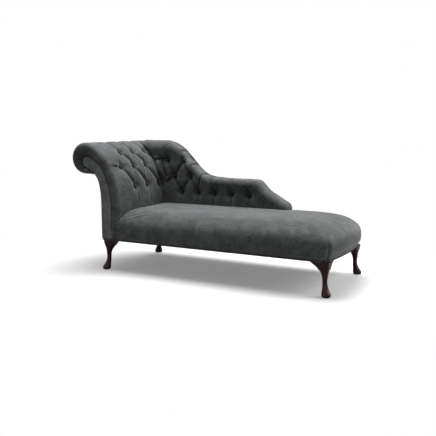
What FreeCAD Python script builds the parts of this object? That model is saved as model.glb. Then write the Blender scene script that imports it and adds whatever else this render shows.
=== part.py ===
import FreeCAD
import Part
import math
import os

# Chaise longue with a scrolled arm, a deep buttoned wave back and four cabriole legs.
# Sizes are in millimetres. The piece is laid out from the head end's outer face (x = 0),
# the front line (y = 0) and the floor (z = 0). At the end it is moved so that the origin
# is the middle of its footprint on the floor.

os.makedirs("parts", exist_ok=True)

V = FreeCAD.Vector

# Whole body
leg_height = 178.0
body_depth = 606.0
head_x = 5.0
foot_end_x = 1403.0
foot_bow = 20.0
corner_radius = 55.0
clearance = 0.3

# Seat frame
rail_thickness = 22.0
rail_height = 92.0
rail_setback = 12.0
foot_rail_inner = 32.0
foot_rail_joint = 63.0
cross_rail_width = 40.0
cross_rail_height = 62.0
cross_rail_count = 2
block_leg = 80.0
block_height = 50.0
webbing_width = 50.0
webbing_thickness = 2.0
webbing_count = 10
webbing_head_gap = 20.0
webbing_foot_gap = 40.0
welt_height = 10.0
welt_setback = 0.5
dust_cover_thickness = 1.0
dust_cover_setback = 16.0
dust_cover_leg_room = 3.0

# Seat cushion: it swells out from its lower edge, then rolls in over a deep crown
seat_height = 169.0
seat_swell = 10.0
seat_swell_height = 54.0
seat_roll_depth = 235.0
seat_roll_fullness = 2.5
seat_swell_steps = 3
seat_roll_steps = 11
seat_rear_share = 0.5
seat_head_share = 0.35
seat_rear_bulge = 2.0
seat_corner_growth = 0.25
seat_cover_thickness = 2.5
least_corner = 4.0

# Arm scroll: the inner line of the facing, and the padded line beyond it
arm_inner_x = 80.0
arm_straight = 192.0
arm_sweep_radius = 450.0
arm_sweep_turn = 30.0
arm_bend_radius = 160.0
arm_bend_turn = 47.0
curl_radius = 34.0
curl_turn = 166.0
outer_sweep_radius = 500.0
outer_sweep_turn = 12.6
outer_bend_turn = 56.8
throat_width = 20.3
throat_drop = 8.0
arm_padding = 48.0
pad_sweep_ease = 22.0
roll_radius = 92.0
roll_out = 29.5
roll_up = 22.2
roll_end_heading = 270.0
wadding = 24.0
arm_front_y = 4.0
arm_front_round = 24.0
arm_lining_thickness = 3.0
outside_cover_thickness = 2.0
piping_radius = 2.5
facing_thickness = 8.0
arm_rail_depth = 45.0
lower_rail_rise = 20.0
middle_rail_rise = 90.0

# Back: its crest from the arm to the foot side
back_padding_depth = 106.0
back_cover_thickness = 10.0
crest_rise = 578.0
crest_start_x = -75.0
crest_flat = 165.0
crest_drop_radius = 230.0
crest_drop_turn = 46.0
crest_slope = 139.0
dip_radius = 180.0
dip_turn = 42.0
dip_run = 60.0
dip_out_radius = 860.0
dip_out_turn = 4.0
low_run = 165.0
shoulder_radius = 60.0
shoulder_turn = 47.0
shoulder_slope = 40.0
tail_dip_radius = 150.0
tail_dip_turn = 18.0
tail_run = 112.0
tail_end_radius = 40.0
least_tail_radius = 2.0
back_crest_round = 34.0
board_drop = 24.3
back_board_thickness = 12.0
post_width = 40.0
post_depth = 20.0
post_inset = 70.0
post_xs = [330.0, 600.0, 830.0]

# Deep buttoning
button_radius = 11.0
button_height = 7.0
button_drum_share = 0.4
button_room = 0.4
tuft_depth = 17.0
tuft_mouth = 30.0
pleat_depth = 7.0
pleat_width = 16.0
pleat_steps = 3
roll_pleat_run = 170.0
roll_pleat_steps = 9
low_pleat_run = 120.0
rim_pleat_reach = 150.0
diamond_reach = 0.75

# Buttons of the arm: along the padded line from the frame's foot, and in front of the back
arm_button_pitch = 129.0
arm_row_runs = [556.0, 446.0, 311.0]
arm_row_gaps = [24.0, -29.0, 20.0]
arm_row_counts = [3, 4, 3]

# Buttons of the back: above the frame's foot, and from the head end
back_button_pitch = 118.5
back_row_rises = [254.0, 353.0, 452.0]
back_row_starts = [255.0, 199.0, 150.0]
back_row_counts = [5, 2, 2]

# Legs: height, how far the middle lies in from the body's corner, half width and
# corner radius as a share of the half width
leg_inset_x = 7.0
leg_sections = [
    (178.0, 41.0, 35.0, 0.28),
    (164.0, 40.0, 34.5, 0.34),
    (150.0, 38.0, 30.5, 0.42),
    (134.0, 34.5, 23.0, 0.60),
    (116.0, 31.5, 17.0, 0.80),
    (96.0, 30.0, 13.8, 0.95),
    (70.0, 29.7, 12.6, 0.97),
    (48.0, 27.0, 15.0, 0.97),
    (30.0, 22.5, 19.5, 0.97),
    (15.0, 18.8, 24.0, 0.97),
    (6.0, 18.0, 23.0, 0.97),
    (2.0, 18.0, 19.5, 0.97),
]
glide_height = 2.0
glide_radius = 16.0
wing_reach = 103.0
wing_tip = 4.0
wing_drop = 42.0
wing_thickness = 22.0
wing_setback = 3.0
wing_root = 22.0
wing_curve_out = 4.0
wing_curve_share = 0.28
bolt_inset = 46.0
bolt_radius = 4.0
bolt_in_leg = 30.0
bolt_above_block = 14.0
nut_height = 7.0
nut_across = 13.0
bolt_clearance = 0.15
thread_clearance = 0.05

# What the cutting shapes take beyond the pieces that they cut
cut_over = 3.0
cut_past = 50.0
cut_beyond = 3000.0
near_enough = 0.001

# Levels and lines worked out from the sizes above
floor_of_frame = leg_height
rail_top = floor_of_frame + rail_height
deck = rail_top + webbing_thickness
foot_of_pad = deck + clearance
cover_bottom = floor_of_frame + welt_height
crest_top = floor_of_frame + crest_rise
rail_in = rail_setback + rail_thickness
board_front = rail_setback
board_face = body_depth - rail_setback - back_board_thickness
rear_line = body_depth - rail_setback
rear_inner = body_depth - rail_in
back_front_y = body_depth - back_padding_depth
pad_sweep_radius = arm_sweep_radius + arm_padding + pad_sweep_ease
leg_corner_right = foot_end_x + leg_inset_x
wing_face = leg_sections[0][1] - leg_sections[0][2] + wing_setback


def box(x0, y0, z0, x1, y1, z1):
    return Part.makeBox(x1 - x0, y1 - y0, z1 - z0, V(x0, y0, z0))


def trace(x, z, heading, moves):
    """Edges in the plane y = 0 that run on from each other without a corner, and their end."""
    edges = []
    for move in moves:
        angle = math.radians(heading)
        if move[0] == "go":
            end = V(x + move[1] * math.cos(angle), 0, z + move[1] * math.sin(angle))
            edges.append(Part.LineSegment(V(x, 0, z), end).toShape())
        else:
            side = 1.0 if move[0] == "left" else -1.0
            radius, turn = move[1], move[2]
            cx = x - side * radius * math.sin(angle)
            cz = z + side * radius * math.cos(angle)
            ends = []
            for share in (0.5, 1.0):
                a = angle + side * math.radians(turn) * share
                ends.append(V(cx + side * radius * math.sin(a), 0, cz - side * radius * math.cos(a)))
            edges.append(Part.Arc(V(x, 0, z), ends[0], ends[1]).toShape())
            end = ends[1]
            heading += side * turn
        x, z = end.x, end.z
    return edges, end


def join_edges(edges):
    return Part.Wire(Part.__sortEdges__(edges))


def line(x0, z0, x1, z1):
    return Part.LineSegment(V(x0, 0, z0), V(x1, 0, z1)).toShape()


def slab(edges, y0, y1):
    """The closed outline drawn by the edges, from y0 to y1."""
    face = Part.Face(join_edges(edges))
    solid = face.extrude(V(0, y1 - y0, 0))
    solid.translate(V(0, y0, 0))
    return solid


def inner_scroll(skin, z0, curl=True):
    """Inner line of the arm's scroll, moved out by skin, from z0 to the end of its curl or its bend."""
    rise = floor_of_frame + arm_straight - z0
    moves = [
        ("go", rise),
        ("left", arm_sweep_radius + skin, arm_sweep_turn),
        ("left", arm_bend_radius + skin, arm_bend_turn),
        ("left", curl_radius + skin, curl_turn),
    ]
    return trace(arm_inner_x + skin, z0, 90, moves if curl else moves[:3])


# The roll of the padding and the outer line of the scroll both follow from the curl
scroll_edges, curl_end = inner_scroll(0, floor_of_frame)
curl_centre = scroll_edges[-1].Curve.Center
roll_x = curl_centre.x - roll_out
roll_z = curl_centre.z + roll_up
arm_under = roll_z - roll_radius
sweep_turn = math.radians(outer_sweep_turn)
throat_turn = math.radians(outer_sweep_turn + outer_bend_turn)
sweep_end_x = head_x - outer_sweep_radius * (1 - math.cos(sweep_turn))
bend_reach = sweep_end_x - (curl_end.x + throat_width)
outer_bend_radius = bend_reach / (math.cos(sweep_turn) - math.cos(throat_turn))
outer_rise = outer_sweep_radius * math.sin(sweep_turn)
outer_rise += outer_bend_radius * (math.sin(throat_turn) - math.sin(sweep_turn))
outer_straight = curl_end.z - throat_drop - outer_rise - floor_of_frame


def outer_scroll(skin, z0, top=None):
    """Outer line of the arm's scroll, moved out by skin, up to the curl or to a height."""
    bend = outer_bend_turn
    radius = outer_bend_radius - skin
    if top is not None:
        centre_z = floor_of_frame + outer_straight + outer_sweep_radius * math.sin(sweep_turn)
        centre_z -= outer_bend_radius * math.sin(sweep_turn)
        bend = math.degrees(math.asin((top - centre_z) / radius)) - outer_sweep_turn
    return trace(head_x - skin, z0, 90, [
        ("go", floor_of_frame + outer_straight - z0),
        ("left", outer_sweep_radius - skin, outer_sweep_turn),
        ("left", radius, bend),
    ])


def padded_line(skin, z0):
    """Padded line of the inside arm from z0, over the roll and round to its underside."""
    x = arm_inner_x + arm_padding - skin
    sweep = pad_sweep_radius - skin
    turn = math.radians(arm_sweep_turn)
    x1 = x - sweep * (1 - math.cos(turn))
    z1 = floor_of_frame + arm_straight + sweep * math.sin(turn)
    # The bend that runs from the sweep into the roll: its circle touches both
    dx = x1 - roll_x
    dz = z1 - roll_z
    r = roll_radius - skin
    along = dx * math.cos(turn) + dz * math.sin(turn)
    bend = (r * r - dx * dx - dz * dz) / (2 * (r - along))
    cx = x1 - bend * math.cos(turn)
    cz = z1 - bend * math.sin(turn)
    meet = math.degrees(math.atan2(roll_z - cz, roll_x - cx))
    return trace(x, z0, 90, [
        ("go", floor_of_frame + arm_straight - z0),
        ("left", sweep, arm_sweep_turn),
        ("left", bend, meet - arm_sweep_turn),
        ("left", r, roll_end_heading - meet),
    ])


def scroll_face(z0):
    """Edges round the flat scroll of the facing and the boards."""
    inner, inner_end = inner_scroll(0, z0)
    outer, outer_end = outer_scroll(0, z0)
    throat = line(outer_end.x, outer_end.z, inner_end.x, inner_end.z)
    return inner + outer + [throat, line(head_x, z0, arm_inner_x, z0)]


def arm_padding_edges(skin, z0):
    """Edges round the padding between the scroll board and the padded line."""
    pad, pad_end = padded_line(skin, z0)
    inner, inner_end = inner_scroll(0, z0)
    upper, upper_end = outer_scroll(0, floor_of_frame, arm_under + skin)
    whole, outer_end = outer_scroll(0, floor_of_frame)
    centre = whole[-1].Curve.Center
    upper_angle = math.atan2(upper_end.z - centre.z, upper_end.x - centre.x)
    outer_angle = math.atan2(outer_end.z - centre.z, outer_end.x - centre.x)
    middle = 0.5 * (upper_angle + outer_angle)
    via = centre + V(outer_bend_radius * math.cos(middle), 0, outer_bend_radius * math.sin(middle))
    edge = Part.Arc(upper_end, via, outer_end).toShape()
    under = line(pad_end.x, pad_end.z, upper_end.x, upper_end.z)
    throat = line(outer_end.x, outer_end.z, inner_end.x, inner_end.z)
    foot = line(arm_inner_x, z0, arm_inner_x + arm_padding - skin, z0)
    return pad + inner + [under, edge, throat, foot]


def crest(skin):
    """Crest line of the back, moved in by skin, from above the arm to the tail's end."""
    return trace(crest_start_x, crest_top - skin, 0, [
        ("go", crest_flat),
        ("right", crest_drop_radius - skin, crest_drop_turn),
        ("go", crest_slope),
        ("left", dip_radius + skin, dip_turn),
        ("go", dip_run),
        ("left", dip_out_radius + skin, dip_out_turn),
        ("go", low_run),
        ("right", shoulder_radius - skin, shoulder_turn),
        ("go", shoulder_slope),
        ("left", tail_dip_radius + skin, tail_dip_turn),
        ("go", tail_run),
        ("right", max(tail_end_radius - skin, least_tail_radius), 90 - shoulder_turn + tail_dip_turn),
    ])


def back_edges(skin, z0):
    """Edges round the back above z0: its crest, moved in by skin, its tail and the arm's line."""
    top, tail = crest(skin)
    arm_line, bend_end = inner_scroll(0, z0, curl=False)
    joins = [
        line(bend_end.x, bend_end.z, crest_start_x, crest_top - skin),
        line(tail.x, tail.z, tail.x, z0),
        line(tail.x, z0, arm_inner_x, z0),
    ]
    return top + arm_line + joins


def plan_wire(x0, x1, y0, y1, radius, z):
    """Plan outline with a square head end, rounded foot corners and a bowed foot end."""
    k = radius * (1 - math.sqrt(0.5))
    a = V(x1 - radius, y0, z)
    b = V(x1, y0 + radius, z)
    c = V(x1, y1 - radius, z)
    d = V(x1 - radius, y1, z)
    return Part.Wire([
        Part.LineSegment(V(x0, y0, z), a).toShape(),
        Part.Arc(a, V(x1 - k, y0 + k, z), b).toShape(),
        Part.Arc(b, V(x1 + foot_bow, 0.5 * (y0 + y1), z), c).toShape(),
        Part.Arc(c, V(x1 - k, y1 - k, z), d).toShape(),
        Part.LineSegment(d, V(x0, y1, z)).toShape(),
        Part.LineSegment(V(x0, y1, z), V(x0, y0, z)).toShape(),
    ])


def plan_block(inset, z0, z1, x0):
    """Block with the body's plan outline, moved in by inset."""
    radius = max(corner_radius - inset, least_corner)
    wire = plan_wire(x0, foot_end_x - inset, inset, body_depth - inset, radius, z0)
    return Part.Face(wire).extrude(V(0, 0, z1 - z0))


def seat_profile():
    """Heights above the cover's lower edge, each with how far in the cover lies there."""
    points = []
    for i in range(seat_swell_steps):
        share = i / seat_swell_steps
        points.append((seat_swell_height * share, -seat_swell * math.sin(0.5 * math.pi * share)))
    crown = seat_height - seat_swell_height
    power = seat_roll_fullness
    for i in range(seat_roll_steps + 1):
        angle = 0.5 * math.pi * i / (seat_roll_steps + 1)
        rise = math.sin(angle) ** (2 / power)
        run = math.cos(angle) ** (2 / power)
        points.append((seat_swell_height + crown * rise, seat_roll_depth * (1 - run) - seat_swell))
    return points


def seat_form(skin):
    """Crowned seat: its outline at each height of the profile, lofted."""
    wires = []
    for height, inset in seat_profile():
        drawn = max(inset, 0)
        raised = skin if drawn else 0
        x0 = arm_inner_x + clearance + drawn * seat_head_share + raised
        x1 = foot_end_x - inset - skin
        y0 = inset + skin
        y1 = body_depth - max(inset * seat_rear_share, -seat_rear_bulge) - skin
        radius = corner_radius + drawn * seat_corner_growth - skin
        wires.append(plan_wire(x0, x1, y0, y1, radius, cover_bottom + height - raised))
    return Part.makeLoft(wires, True, True)


def arm_point(run):
    """Point and outward direction on the padded line, run along it from the frame's foot."""
    edges, end = padded_line(0, floor_of_frame)
    left = run
    for edge in edges:
        if left <= edge.Length:
            break
        left -= edge.Length
    t = edge.getParameterByLength(left)
    tangent = edge.tangentAt(t)
    return edge.valueAt(t), V(tangent.z, 0, -tangent.x)


def arm_spots():
    """Rows of the arm's buttons, each a run along the padded line and a y."""
    rows = []
    for run, gap, count in zip(arm_row_runs, arm_row_gaps, arm_row_counts):
        rows.append([(run, back_front_y - gap - arm_button_pitch * i) for i in range(count)])
    return rows


def back_spots():
    """Rows of the back's buttons, each an x and a z."""
    rows = []
    for rise, x, count in zip(back_row_rises, back_row_starts, back_row_counts):
        rows.append([(x + back_button_pitch * i, floor_of_frame + rise) for i in range(count)])
    return rows


def near_pairs(rows, across, pitch):
    """Pairs of buttons in neighbouring rows that a diamond's pleat joins."""
    pairs = []
    for low, high in zip(rows, rows[1:]):
        for a in low:
            for b in high:
                if abs(a[across] - b[across]) < diamond_reach * pitch:
                    pairs.append((a, b))
    return pairs


def pleat(points, normals):
    """Wedge that a pleat presses along a run of points on the surface."""
    half = 0.5 * pleat_width * (1 + cut_over / pleat_depth)
    wires = []
    for i, (point, normal) in enumerate(zip(points, normals)):
        run = points[min(i + 1, len(points) - 1)] - points[max(i - 1, 0)]
        side = run.cross(normal).normalize()
        low = point - normal * pleat_depth
        high = point + normal * cut_over
        wires.append(Part.makePolygon([low, high + side * half, high - side * half, low]))
    return Part.makeLoft(wires, True, True)


def tuft(point, normal):
    """Funnel that a button pulls into the padding."""
    base = point - normal * tuft_depth
    over = 2 * cut_over
    mouth = tuft_mouth + (tuft_mouth - button_radius) * over / tuft_depth
    return Part.makeCone(button_radius + button_room, mouth, tuft_depth + over, base, normal)


def arm_pleat(start, end, steps):
    """Pleat over the inside arm between two places, each a run along the line and a y."""
    points = []
    normals = []
    for i in range(steps + 1):
        share = i / steps
        p, n = arm_point(start[0] + (end[0] - start[0]) * share)
        points.append(V(p.x, start[1] + (end[1] - start[1]) * share, p.z))
        normals.append(n)
    return pleat(points, normals)


def arm_tuft_tools():
    tools = []
    rows = arm_spots()
    for row in rows:
        for run, y in row:
            p, n = arm_point(run)
            tools.append(tuft(V(p.x, y, p.z), n))
    for a, b in near_pairs(rows, 1, arm_button_pitch):
        tools.append(arm_pleat(a, b, pleat_steps))
    for run, y in rows[0]:
        tools.append(arm_pleat((run, y), (run + roll_pleat_run, y), roll_pleat_steps))
    for run, y in rows[-1]:
        tools.append(arm_pleat((run, y), (run - low_pleat_run, y), 1))
    return tools


def back_tuft_tools():
    tools = []
    rows = back_spots()
    front = V(0, -1, 0)
    rim = join_edges(crest(0)[0])
    for a, b in near_pairs(rows, 0, back_button_pitch):
        tools.append(pleat([V(a[0], back_front_y, a[1]), V(b[0], back_front_y, b[1])], [front, front]))
    for row in rows:
        for x, z in row:
            spot = V(x, back_front_y, z)
            tools.append(tuft(spot, front))
            distance, pairs, info = rim.distToShape(Part.Vertex(V(x, 0, z)))
            if distance < rim_pleat_reach:
                near = pairs[0][0]
                tools.append(pleat([spot, V(near.x, back_front_y, near.z)], [front, front]))
    return tools


def button(point, normal):
    """Covered button: a short drum with a domed top, seated in its tuft."""
    drum_height = button_height * button_drum_share
    dome_height = button_height - drum_height
    dome_radius = (button_radius ** 2 + dome_height ** 2) / (2 * dome_height)
    half_turn = 0.5 * math.asin(button_radius / dome_radius)
    dome_middle = V(dome_radius * math.sin(half_turn), 0,
                    button_height - dome_radius * (1 - math.cos(half_turn)))
    foot, foot_edge = V(0, 0, 0), V(button_radius, 0, 0)
    rim, top = V(button_radius, 0, drum_height), V(0, 0, button_height)
    profile = Part.Wire([
        Part.LineSegment(foot, foot_edge).toShape(),
        Part.LineSegment(foot_edge, rim).toShape(),
        Part.Arc(rim, dome_middle, top).toShape(),
        Part.LineSegment(top, foot).toShape(),
    ])
    shape = Part.Face(profile).revolve(V(0, 0, 0), V(0, 0, 1), 360)
    shape.Placement = FreeCAD.Placement(point - normal * tuft_depth,
                                        FreeCAD.Rotation(V(0, 0, 1), normal))
    return shape


def round_edges(solid, y, path, radius):
    """The solid with the edges rounded that lie in the plane at y along a path."""
    found = []
    for edge in solid.Edges:
        if any(abs(v.Point.y - y) > near_enough for v in edge.Vertexes):
            continue
        middle = edge.valueAt(0.5 * (edge.FirstParameter + edge.LastParameter))
        spot = Part.Vertex(V(middle.x, 0, middle.z))
        if any(part.distToShape(spot)[0] < near_enough for part in path):
            found.append(edge)
    return solid.makeFillet(radius, found)


def rounded_square(cx, cy, half, share, z):
    """Square outline with rounded corners, gone round against the clock."""
    r = half * share
    k = r * (1 - math.sqrt(0.5))
    flat = half - r
    inner = half - k
    turns = []
    for c, s in [(1, 0), (0, 1), (-1, 0), (0, -1)]:
        places = []
        for u, v in [(half, flat), (inner, inner), (flat, half)]:
            places.append(V(cx + c * u - s * v, cy + s * u + c * v, z))
        turns.append(places)
    edges = []
    for i, (first, via, last) in enumerate(turns):
        edges.append(Part.LineSegment(turns[i - 1][2], first).toShape())
        edges.append(Part.Arc(first, via, last).toShape())
    return Part.Wire(edges)


def leg():
    """Cabriole leg for the front head corner, its corner at the origin."""
    top_height, middle, half, share = leg_sections[0]
    low_height = leg_sections[-1][0]
    scale = (leg_height - glide_height) / (top_height - low_height)
    wires = []
    for z, centre, width, roundness in leg_sections:
        level = glide_height + (z - low_height) * scale
        wires.append(rounded_square(centre, centre, width, roundness, level))
    shape = Part.makeLoft(wires, True, False)
    root = middle + half - wing_root
    tip = leg_height - wing_tip
    low = leg_height - wing_drop
    bend = V(0.5 * (wing_reach + root) + wing_curve_out, wing_face, tip - wing_curve_share * wing_drop)
    top_root = V(root, wing_face, leg_height)
    top_tip = V(wing_reach, wing_face, leg_height)
    low_tip = V(wing_reach, wing_face, tip)
    low_root = V(root, wing_face, low)
    ear = Part.Wire([
        Part.LineSegment(top_root, top_tip).toShape(),
        Part.LineSegment(top_tip, low_tip).toShape(),
        Part.Arc(low_tip, bend, low_root).toShape(),
        Part.LineSegment(low_root, top_root).toShape(),
    ])
    wing = Part.Face(ear).extrude(V(0, wing_thickness, 0))
    other = wing.mirror(V(0, 0, 0), V(1, -1, 0))
    shape = shape.fuse([wing, other])
    foot_of_hole = V(bolt_inset, bolt_inset, leg_height - bolt_in_leg)
    hole = Part.makeCylinder(bolt_radius + bolt_clearance, bolt_in_leg + cut_over, foot_of_hole)
    return shape.cut(hole).removeSplitter()


def at_corner(shape, right, rear):
    """A shape drawn for the front head corner, turned to stand at another corner."""
    placed = shape.copy()
    if right:
        placed = placed.mirror(V(0, 0, 0), V(1, 0, 0))
    if rear:
        placed = placed.mirror(V(0, 0, 0), V(0, 1, 0))
    placed.translate(V(leg_corner_right if right else head_x, body_depth if rear else 0, 0))
    return placed


def group(shapes):
    return Part.makeCompound(shapes)


corners = [(False, False), (True, False), (False, True), (True, True)]
nodes = {}

# Seat frame
joint_x = foot_end_x - foot_rail_joint
inner_end = foot_end_x - foot_rail_inner
head_in = head_x + rail_in
z0, z1 = floor_of_frame, rail_top
nodes["front_seat_rail"] = box(arm_inner_x, board_front, z0, joint_x, rail_in, z1)
nodes["rear_seat_rail"] = box(arm_inner_x, rear_inner, z0, joint_x, rear_line, z1)
nodes["head_end_rail"] = box(head_x + rail_setback, rail_in, z0, head_in, rear_inner, z1)
foot_rail = plan_block(rail_setback, z0, z1, joint_x)
foot_room = box(joint_x - cut_over, rail_in, z0 - cut_over, inner_end, rear_inner, z1 + cut_over)
nodes["foot_end_rail"] = foot_rail.cut(foot_room)
crosses = []
for i in range(cross_rail_count):
    x = head_in + (inner_end - head_in) * (i + 1) / (cross_rail_count + 1) - 0.5 * cross_rail_width
    crosses.append(box(x, rail_in, z0, x + cross_rail_width, rear_inner, z0 + cross_rail_height))
nodes["seat_cross_rails"] = group(crosses)

blocks = []
for right, rear in corners:
    bx = leg_corner_right - inner_end if right else rail_in
    points = [V(bx, rail_in, z0), V(bx + block_leg, rail_in, z0), V(bx, rail_in + block_leg, z0)]
    block = Part.Face(Part.makePolygon(points + points[:1])).extrude(V(0, 0, block_height))
    foot_of_hole = V(bolt_inset, bolt_inset, z0 - cut_over)
    hole = Part.makeCylinder(bolt_radius + bolt_clearance, block_height + 2 * cut_over, foot_of_hole)
    blocks.append(at_corner(block.cut(hole), right, rear))
nodes["corner_blocks"] = group(blocks)

strips = []
first = head_in + webbing_head_gap
gap = (inner_end - webbing_foot_gap - webbing_width - first) / (webbing_count - 1)
for i in range(webbing_count):
    x = max(first + gap * i, arm_inner_x)
    strips.append(box(x, board_front, rail_top, x + webbing_width, board_face - clearance, deck))
nodes["seat_webbing"] = group(strips)

welt = plan_block(welt_setback, z0, cover_bottom - clearance, head_x + welt_setback)
welt_room = plan_block(rail_setback, z0 - cut_over, cover_bottom + cut_over, head_x + rail_setback)
welt = welt.cut(welt_room)
nodes["bottom_welt"] = welt

dust_x = head_x + dust_cover_setback
dust = plan_block(dust_cover_setback, z0 - dust_cover_thickness, z0, dust_x)
leg_side = leg_sections[0][1] + leg_sections[0][2] + dust_cover_leg_room
ear_long = wing_reach + dust_cover_leg_room
ear_wide = wing_face + wing_thickness + dust_cover_leg_room
for reach_x, reach_y in [(leg_side, leg_side), (ear_long, ear_wide), (ear_wide, ear_long)]:
    notch = box(0, 0, z0 - cut_over, reach_x, reach_y, z0 + cut_over)
    dust = dust.cut([at_corner(notch, right, rear) for right, rear in corners])
nodes["dust_cover"] = dust

# Arm frame
scroll = scroll_face(floor_of_frame)
head_room = box(head_x - cut_over, -cut_over, floor_of_frame - cut_over,
                head_x + rail_setback, body_depth + cut_over, cover_bottom - clearance)
nodes["arm_front_board"] = slab(scroll, board_front, rail_in).cut(head_room)
nodes["arm_rear_board"] = slab(scroll, rear_inner, rear_line).cut(head_room)
half_rail = arm_rail_depth / 2
nodes["arm_top_rail"] = box(curl_centre.x - half_rail, rail_in, curl_centre.z - half_rail,
                            curl_centre.x + half_rail, rear_inner, curl_centre.z + half_rail)
mid_z = floor_of_frame + arm_straight + middle_rail_rise
rise = middle_rail_rise + arm_rail_depth
lean = arm_sweep_radius - math.sqrt(arm_sweep_radius ** 2 - rise ** 2)
mid_x = arm_inner_x - lean - clearance
nodes["arm_middle_rail"] = box(mid_x - rail_thickness, rail_in, mid_z,
                               mid_x, rear_inner, mid_z + arm_rail_depth)
low_z = rail_top + lower_rail_rise
nodes["arm_lower_rail"] = box(arm_inner_x - rail_thickness, rail_in, low_z,
                              arm_inner_x, rear_inner, low_z + arm_rail_depth)

# Back frame
board = back_edges(board_drop, rail_top)
nodes["back_board"] = slab(board, board_face, rear_line)
post_top = back_edges(post_inset, deck)
posts = []
for x in post_xs:
    tall = box(x, board_face - post_depth, deck, x + post_width, board_face, crest_top)
    posts.append(tall.common(slab(post_top, board_face - post_depth, board_face)))
nodes["back_posts"] = group(posts)

# Arm padding and cover
lining_out, out_end = inner_scroll(arm_lining_thickness, deck)
lining_in, in_end = inner_scroll(0, deck)
lining_edges = lining_out + lining_in + [
    line(out_end.x, out_end.z, in_end.x, in_end.z),
    line(arm_inner_x, deck, arm_inner_x + arm_lining_thickness, deck),
]
lining = slab(lining_edges, board_front, board_face - clearance)
nodes["arm_lining"] = lining
board_room = slab(board, board_face - clearance, rear_line + cut_past)
outer_pad = slab(arm_padding_edges(0, foot_of_pad), arm_front_y, rear_line - clearance)
outer_pad = round_edges(outer_pad, arm_front_y, padded_line(0, foot_of_pad)[0], arm_front_round)
inner_pad = slab(arm_padding_edges(wadding, foot_of_pad), arm_front_y + wadding, board_face - clearance)
nib_end = arm_front_y + arm_front_round
nib_box = box(0, -cut_past, 0, 2 * arm_inner_x, nib_end + clearance, cut_beyond)
nib = seat_form(-clearance).common(nib_box)
arm_cover = outer_pad.cut(arm_tuft_tools())
nodes["inside_arm_cover"] = arm_cover.cut([inner_pad, board_room, lining]).cut(nib)
nodes["arm_foam"] = inner_pad.cut([lining, board_room])
buttons = []
for row in arm_spots():
    for run, y in row:
        p, n = arm_point(run)
        buttons.append(button(V(p.x, y, p.z), n))
nodes["arm_buttons"] = group(buttons)

panel_in, in_end = outer_scroll(0, cover_bottom, arm_under)
panel_out, out_end = outer_scroll(outside_cover_thickness, cover_bottom, arm_under - clearance)
panel = panel_in + panel_out + [
    line(in_end.x, in_end.z, out_end.x, out_end.z),
    line(head_x, cover_bottom, head_x - outside_cover_thickness, cover_bottom),
]
nodes["outside_arm_cover"] = slab(panel, arm_front_y, rear_line)

# Facing of the scroll, with its piping
facing_wire = join_edges(scroll_face(cover_bottom))
facing_wire = facing_wire.makeOffset2D(-2 * piping_radius - 0.5 * clearance)
facing = Part.Face(facing_wire).extrude(V(0, facing_thickness, 0))
facing.translate(V(0, board_front - facing_thickness, 0))
nodes["arm_front_facing"] = facing
cord_inner, inner_end_at = inner_scroll(-piping_radius, cover_bottom)
cord_outer, outer_end_at = outer_scroll(-piping_radius, cover_bottom)
throat = line(outer_end_at.x, outer_end_at.z, inner_end_at.x, inner_end_at.z)
cord_path = join_edges(cord_inner + cord_outer + [throat])
cord_path.translate(V(0, arm_front_y + piping_radius, 0))
cord_start = V(arm_inner_x - piping_radius, arm_front_y + piping_radius, cover_bottom)
cord_ring = Part.Wire(Part.makeCircle(piping_radius, cord_start, V(0, 0, 1)))
nodes["facing_piping"] = cord_path.makePipeShell([cord_ring], True, False)

# Seat padding and cover
tail = crest(0)[1]
seat_inner = seat_form(seat_cover_thickness)
pad_x = arm_inner_x + arm_padding + clearance
arm_side = box(0, nib_end, 0, pad_x, 2 * body_depth, cut_beyond)
back_side = box(0, back_front_y - clearance, 0, tail.x + clearance, 2 * body_depth, cut_beyond)
frame_room = plan_block(rail_setback, 0, foot_of_pad, head_x + rail_setback)
nodes["seat_foam"] = seat_inner.cut([arm_side, back_side, frame_room])
nodes["seat_cover"] = seat_form(0).cut(seat_inner).cut([arm_side, back_side])

# Back padding and covers
back_pad = slab(back_edges(0, foot_of_pad), back_front_y, rear_line - clearance)
back_pad = round_edges(back_pad, back_front_y, crest(0)[0], back_crest_round)
inner_back = slab(back_edges(wadding, 0), back_front_y + wadding, rear_line + cut_past)
arm_line = arm_padding_edges(-clearance, foot_of_pad - cut_over)
arm_room = slab(arm_line, back_front_y - cut_past, rear_line + cut_past)
back_cover = back_pad.cut(back_tuft_tools())
nodes["inside_back_cover"] = back_cover.cut([inner_back, arm_room])
foam = slab(back_edges(wadding + clearance, foot_of_pad), back_front_y + wadding, board_face - clearance)
post_room_top = slab(back_edges(post_inset - clearance, 0), back_front_y, body_depth)
post_rooms = []
for x in post_xs:
    room = box(x - clearance, board_face - post_depth - clearance, 0,
               x + post_width + clearance, body_depth, cut_beyond)
    post_rooms.append(room.common(post_room_top))
nodes["back_foam"] = foam.cut([arm_room] + post_rooms)
buttons = []
for row in back_spots():
    for x, z in row:
        buttons.append(button(V(x, back_front_y, z), V(0, -1, 0)))
nodes["back_buttons"] = group(buttons)
rear_end = rear_line + back_cover_thickness
rear = back_edges(0, cover_bottom)
nodes["outside_back_cover"] = slab(rear, rear_line, rear_end)
pad_line, pad_end = padded_line(0, cover_bottom)
under, under_end = outer_scroll(0, cover_bottom, arm_under)
end_face = pad_line + under + [
    line(pad_end.x, pad_end.z, under_end.x, under_end.z),
    line(head_x, cover_bottom, arm_inner_x + arm_padding, cover_bottom),
]
rear_room = slab(rear, rear_line - cut_over, rear_line + cut_past)
nodes["arm_rear_facing"] = slab(end_face, rear_line, rear_end).cut(rear_room)

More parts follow.
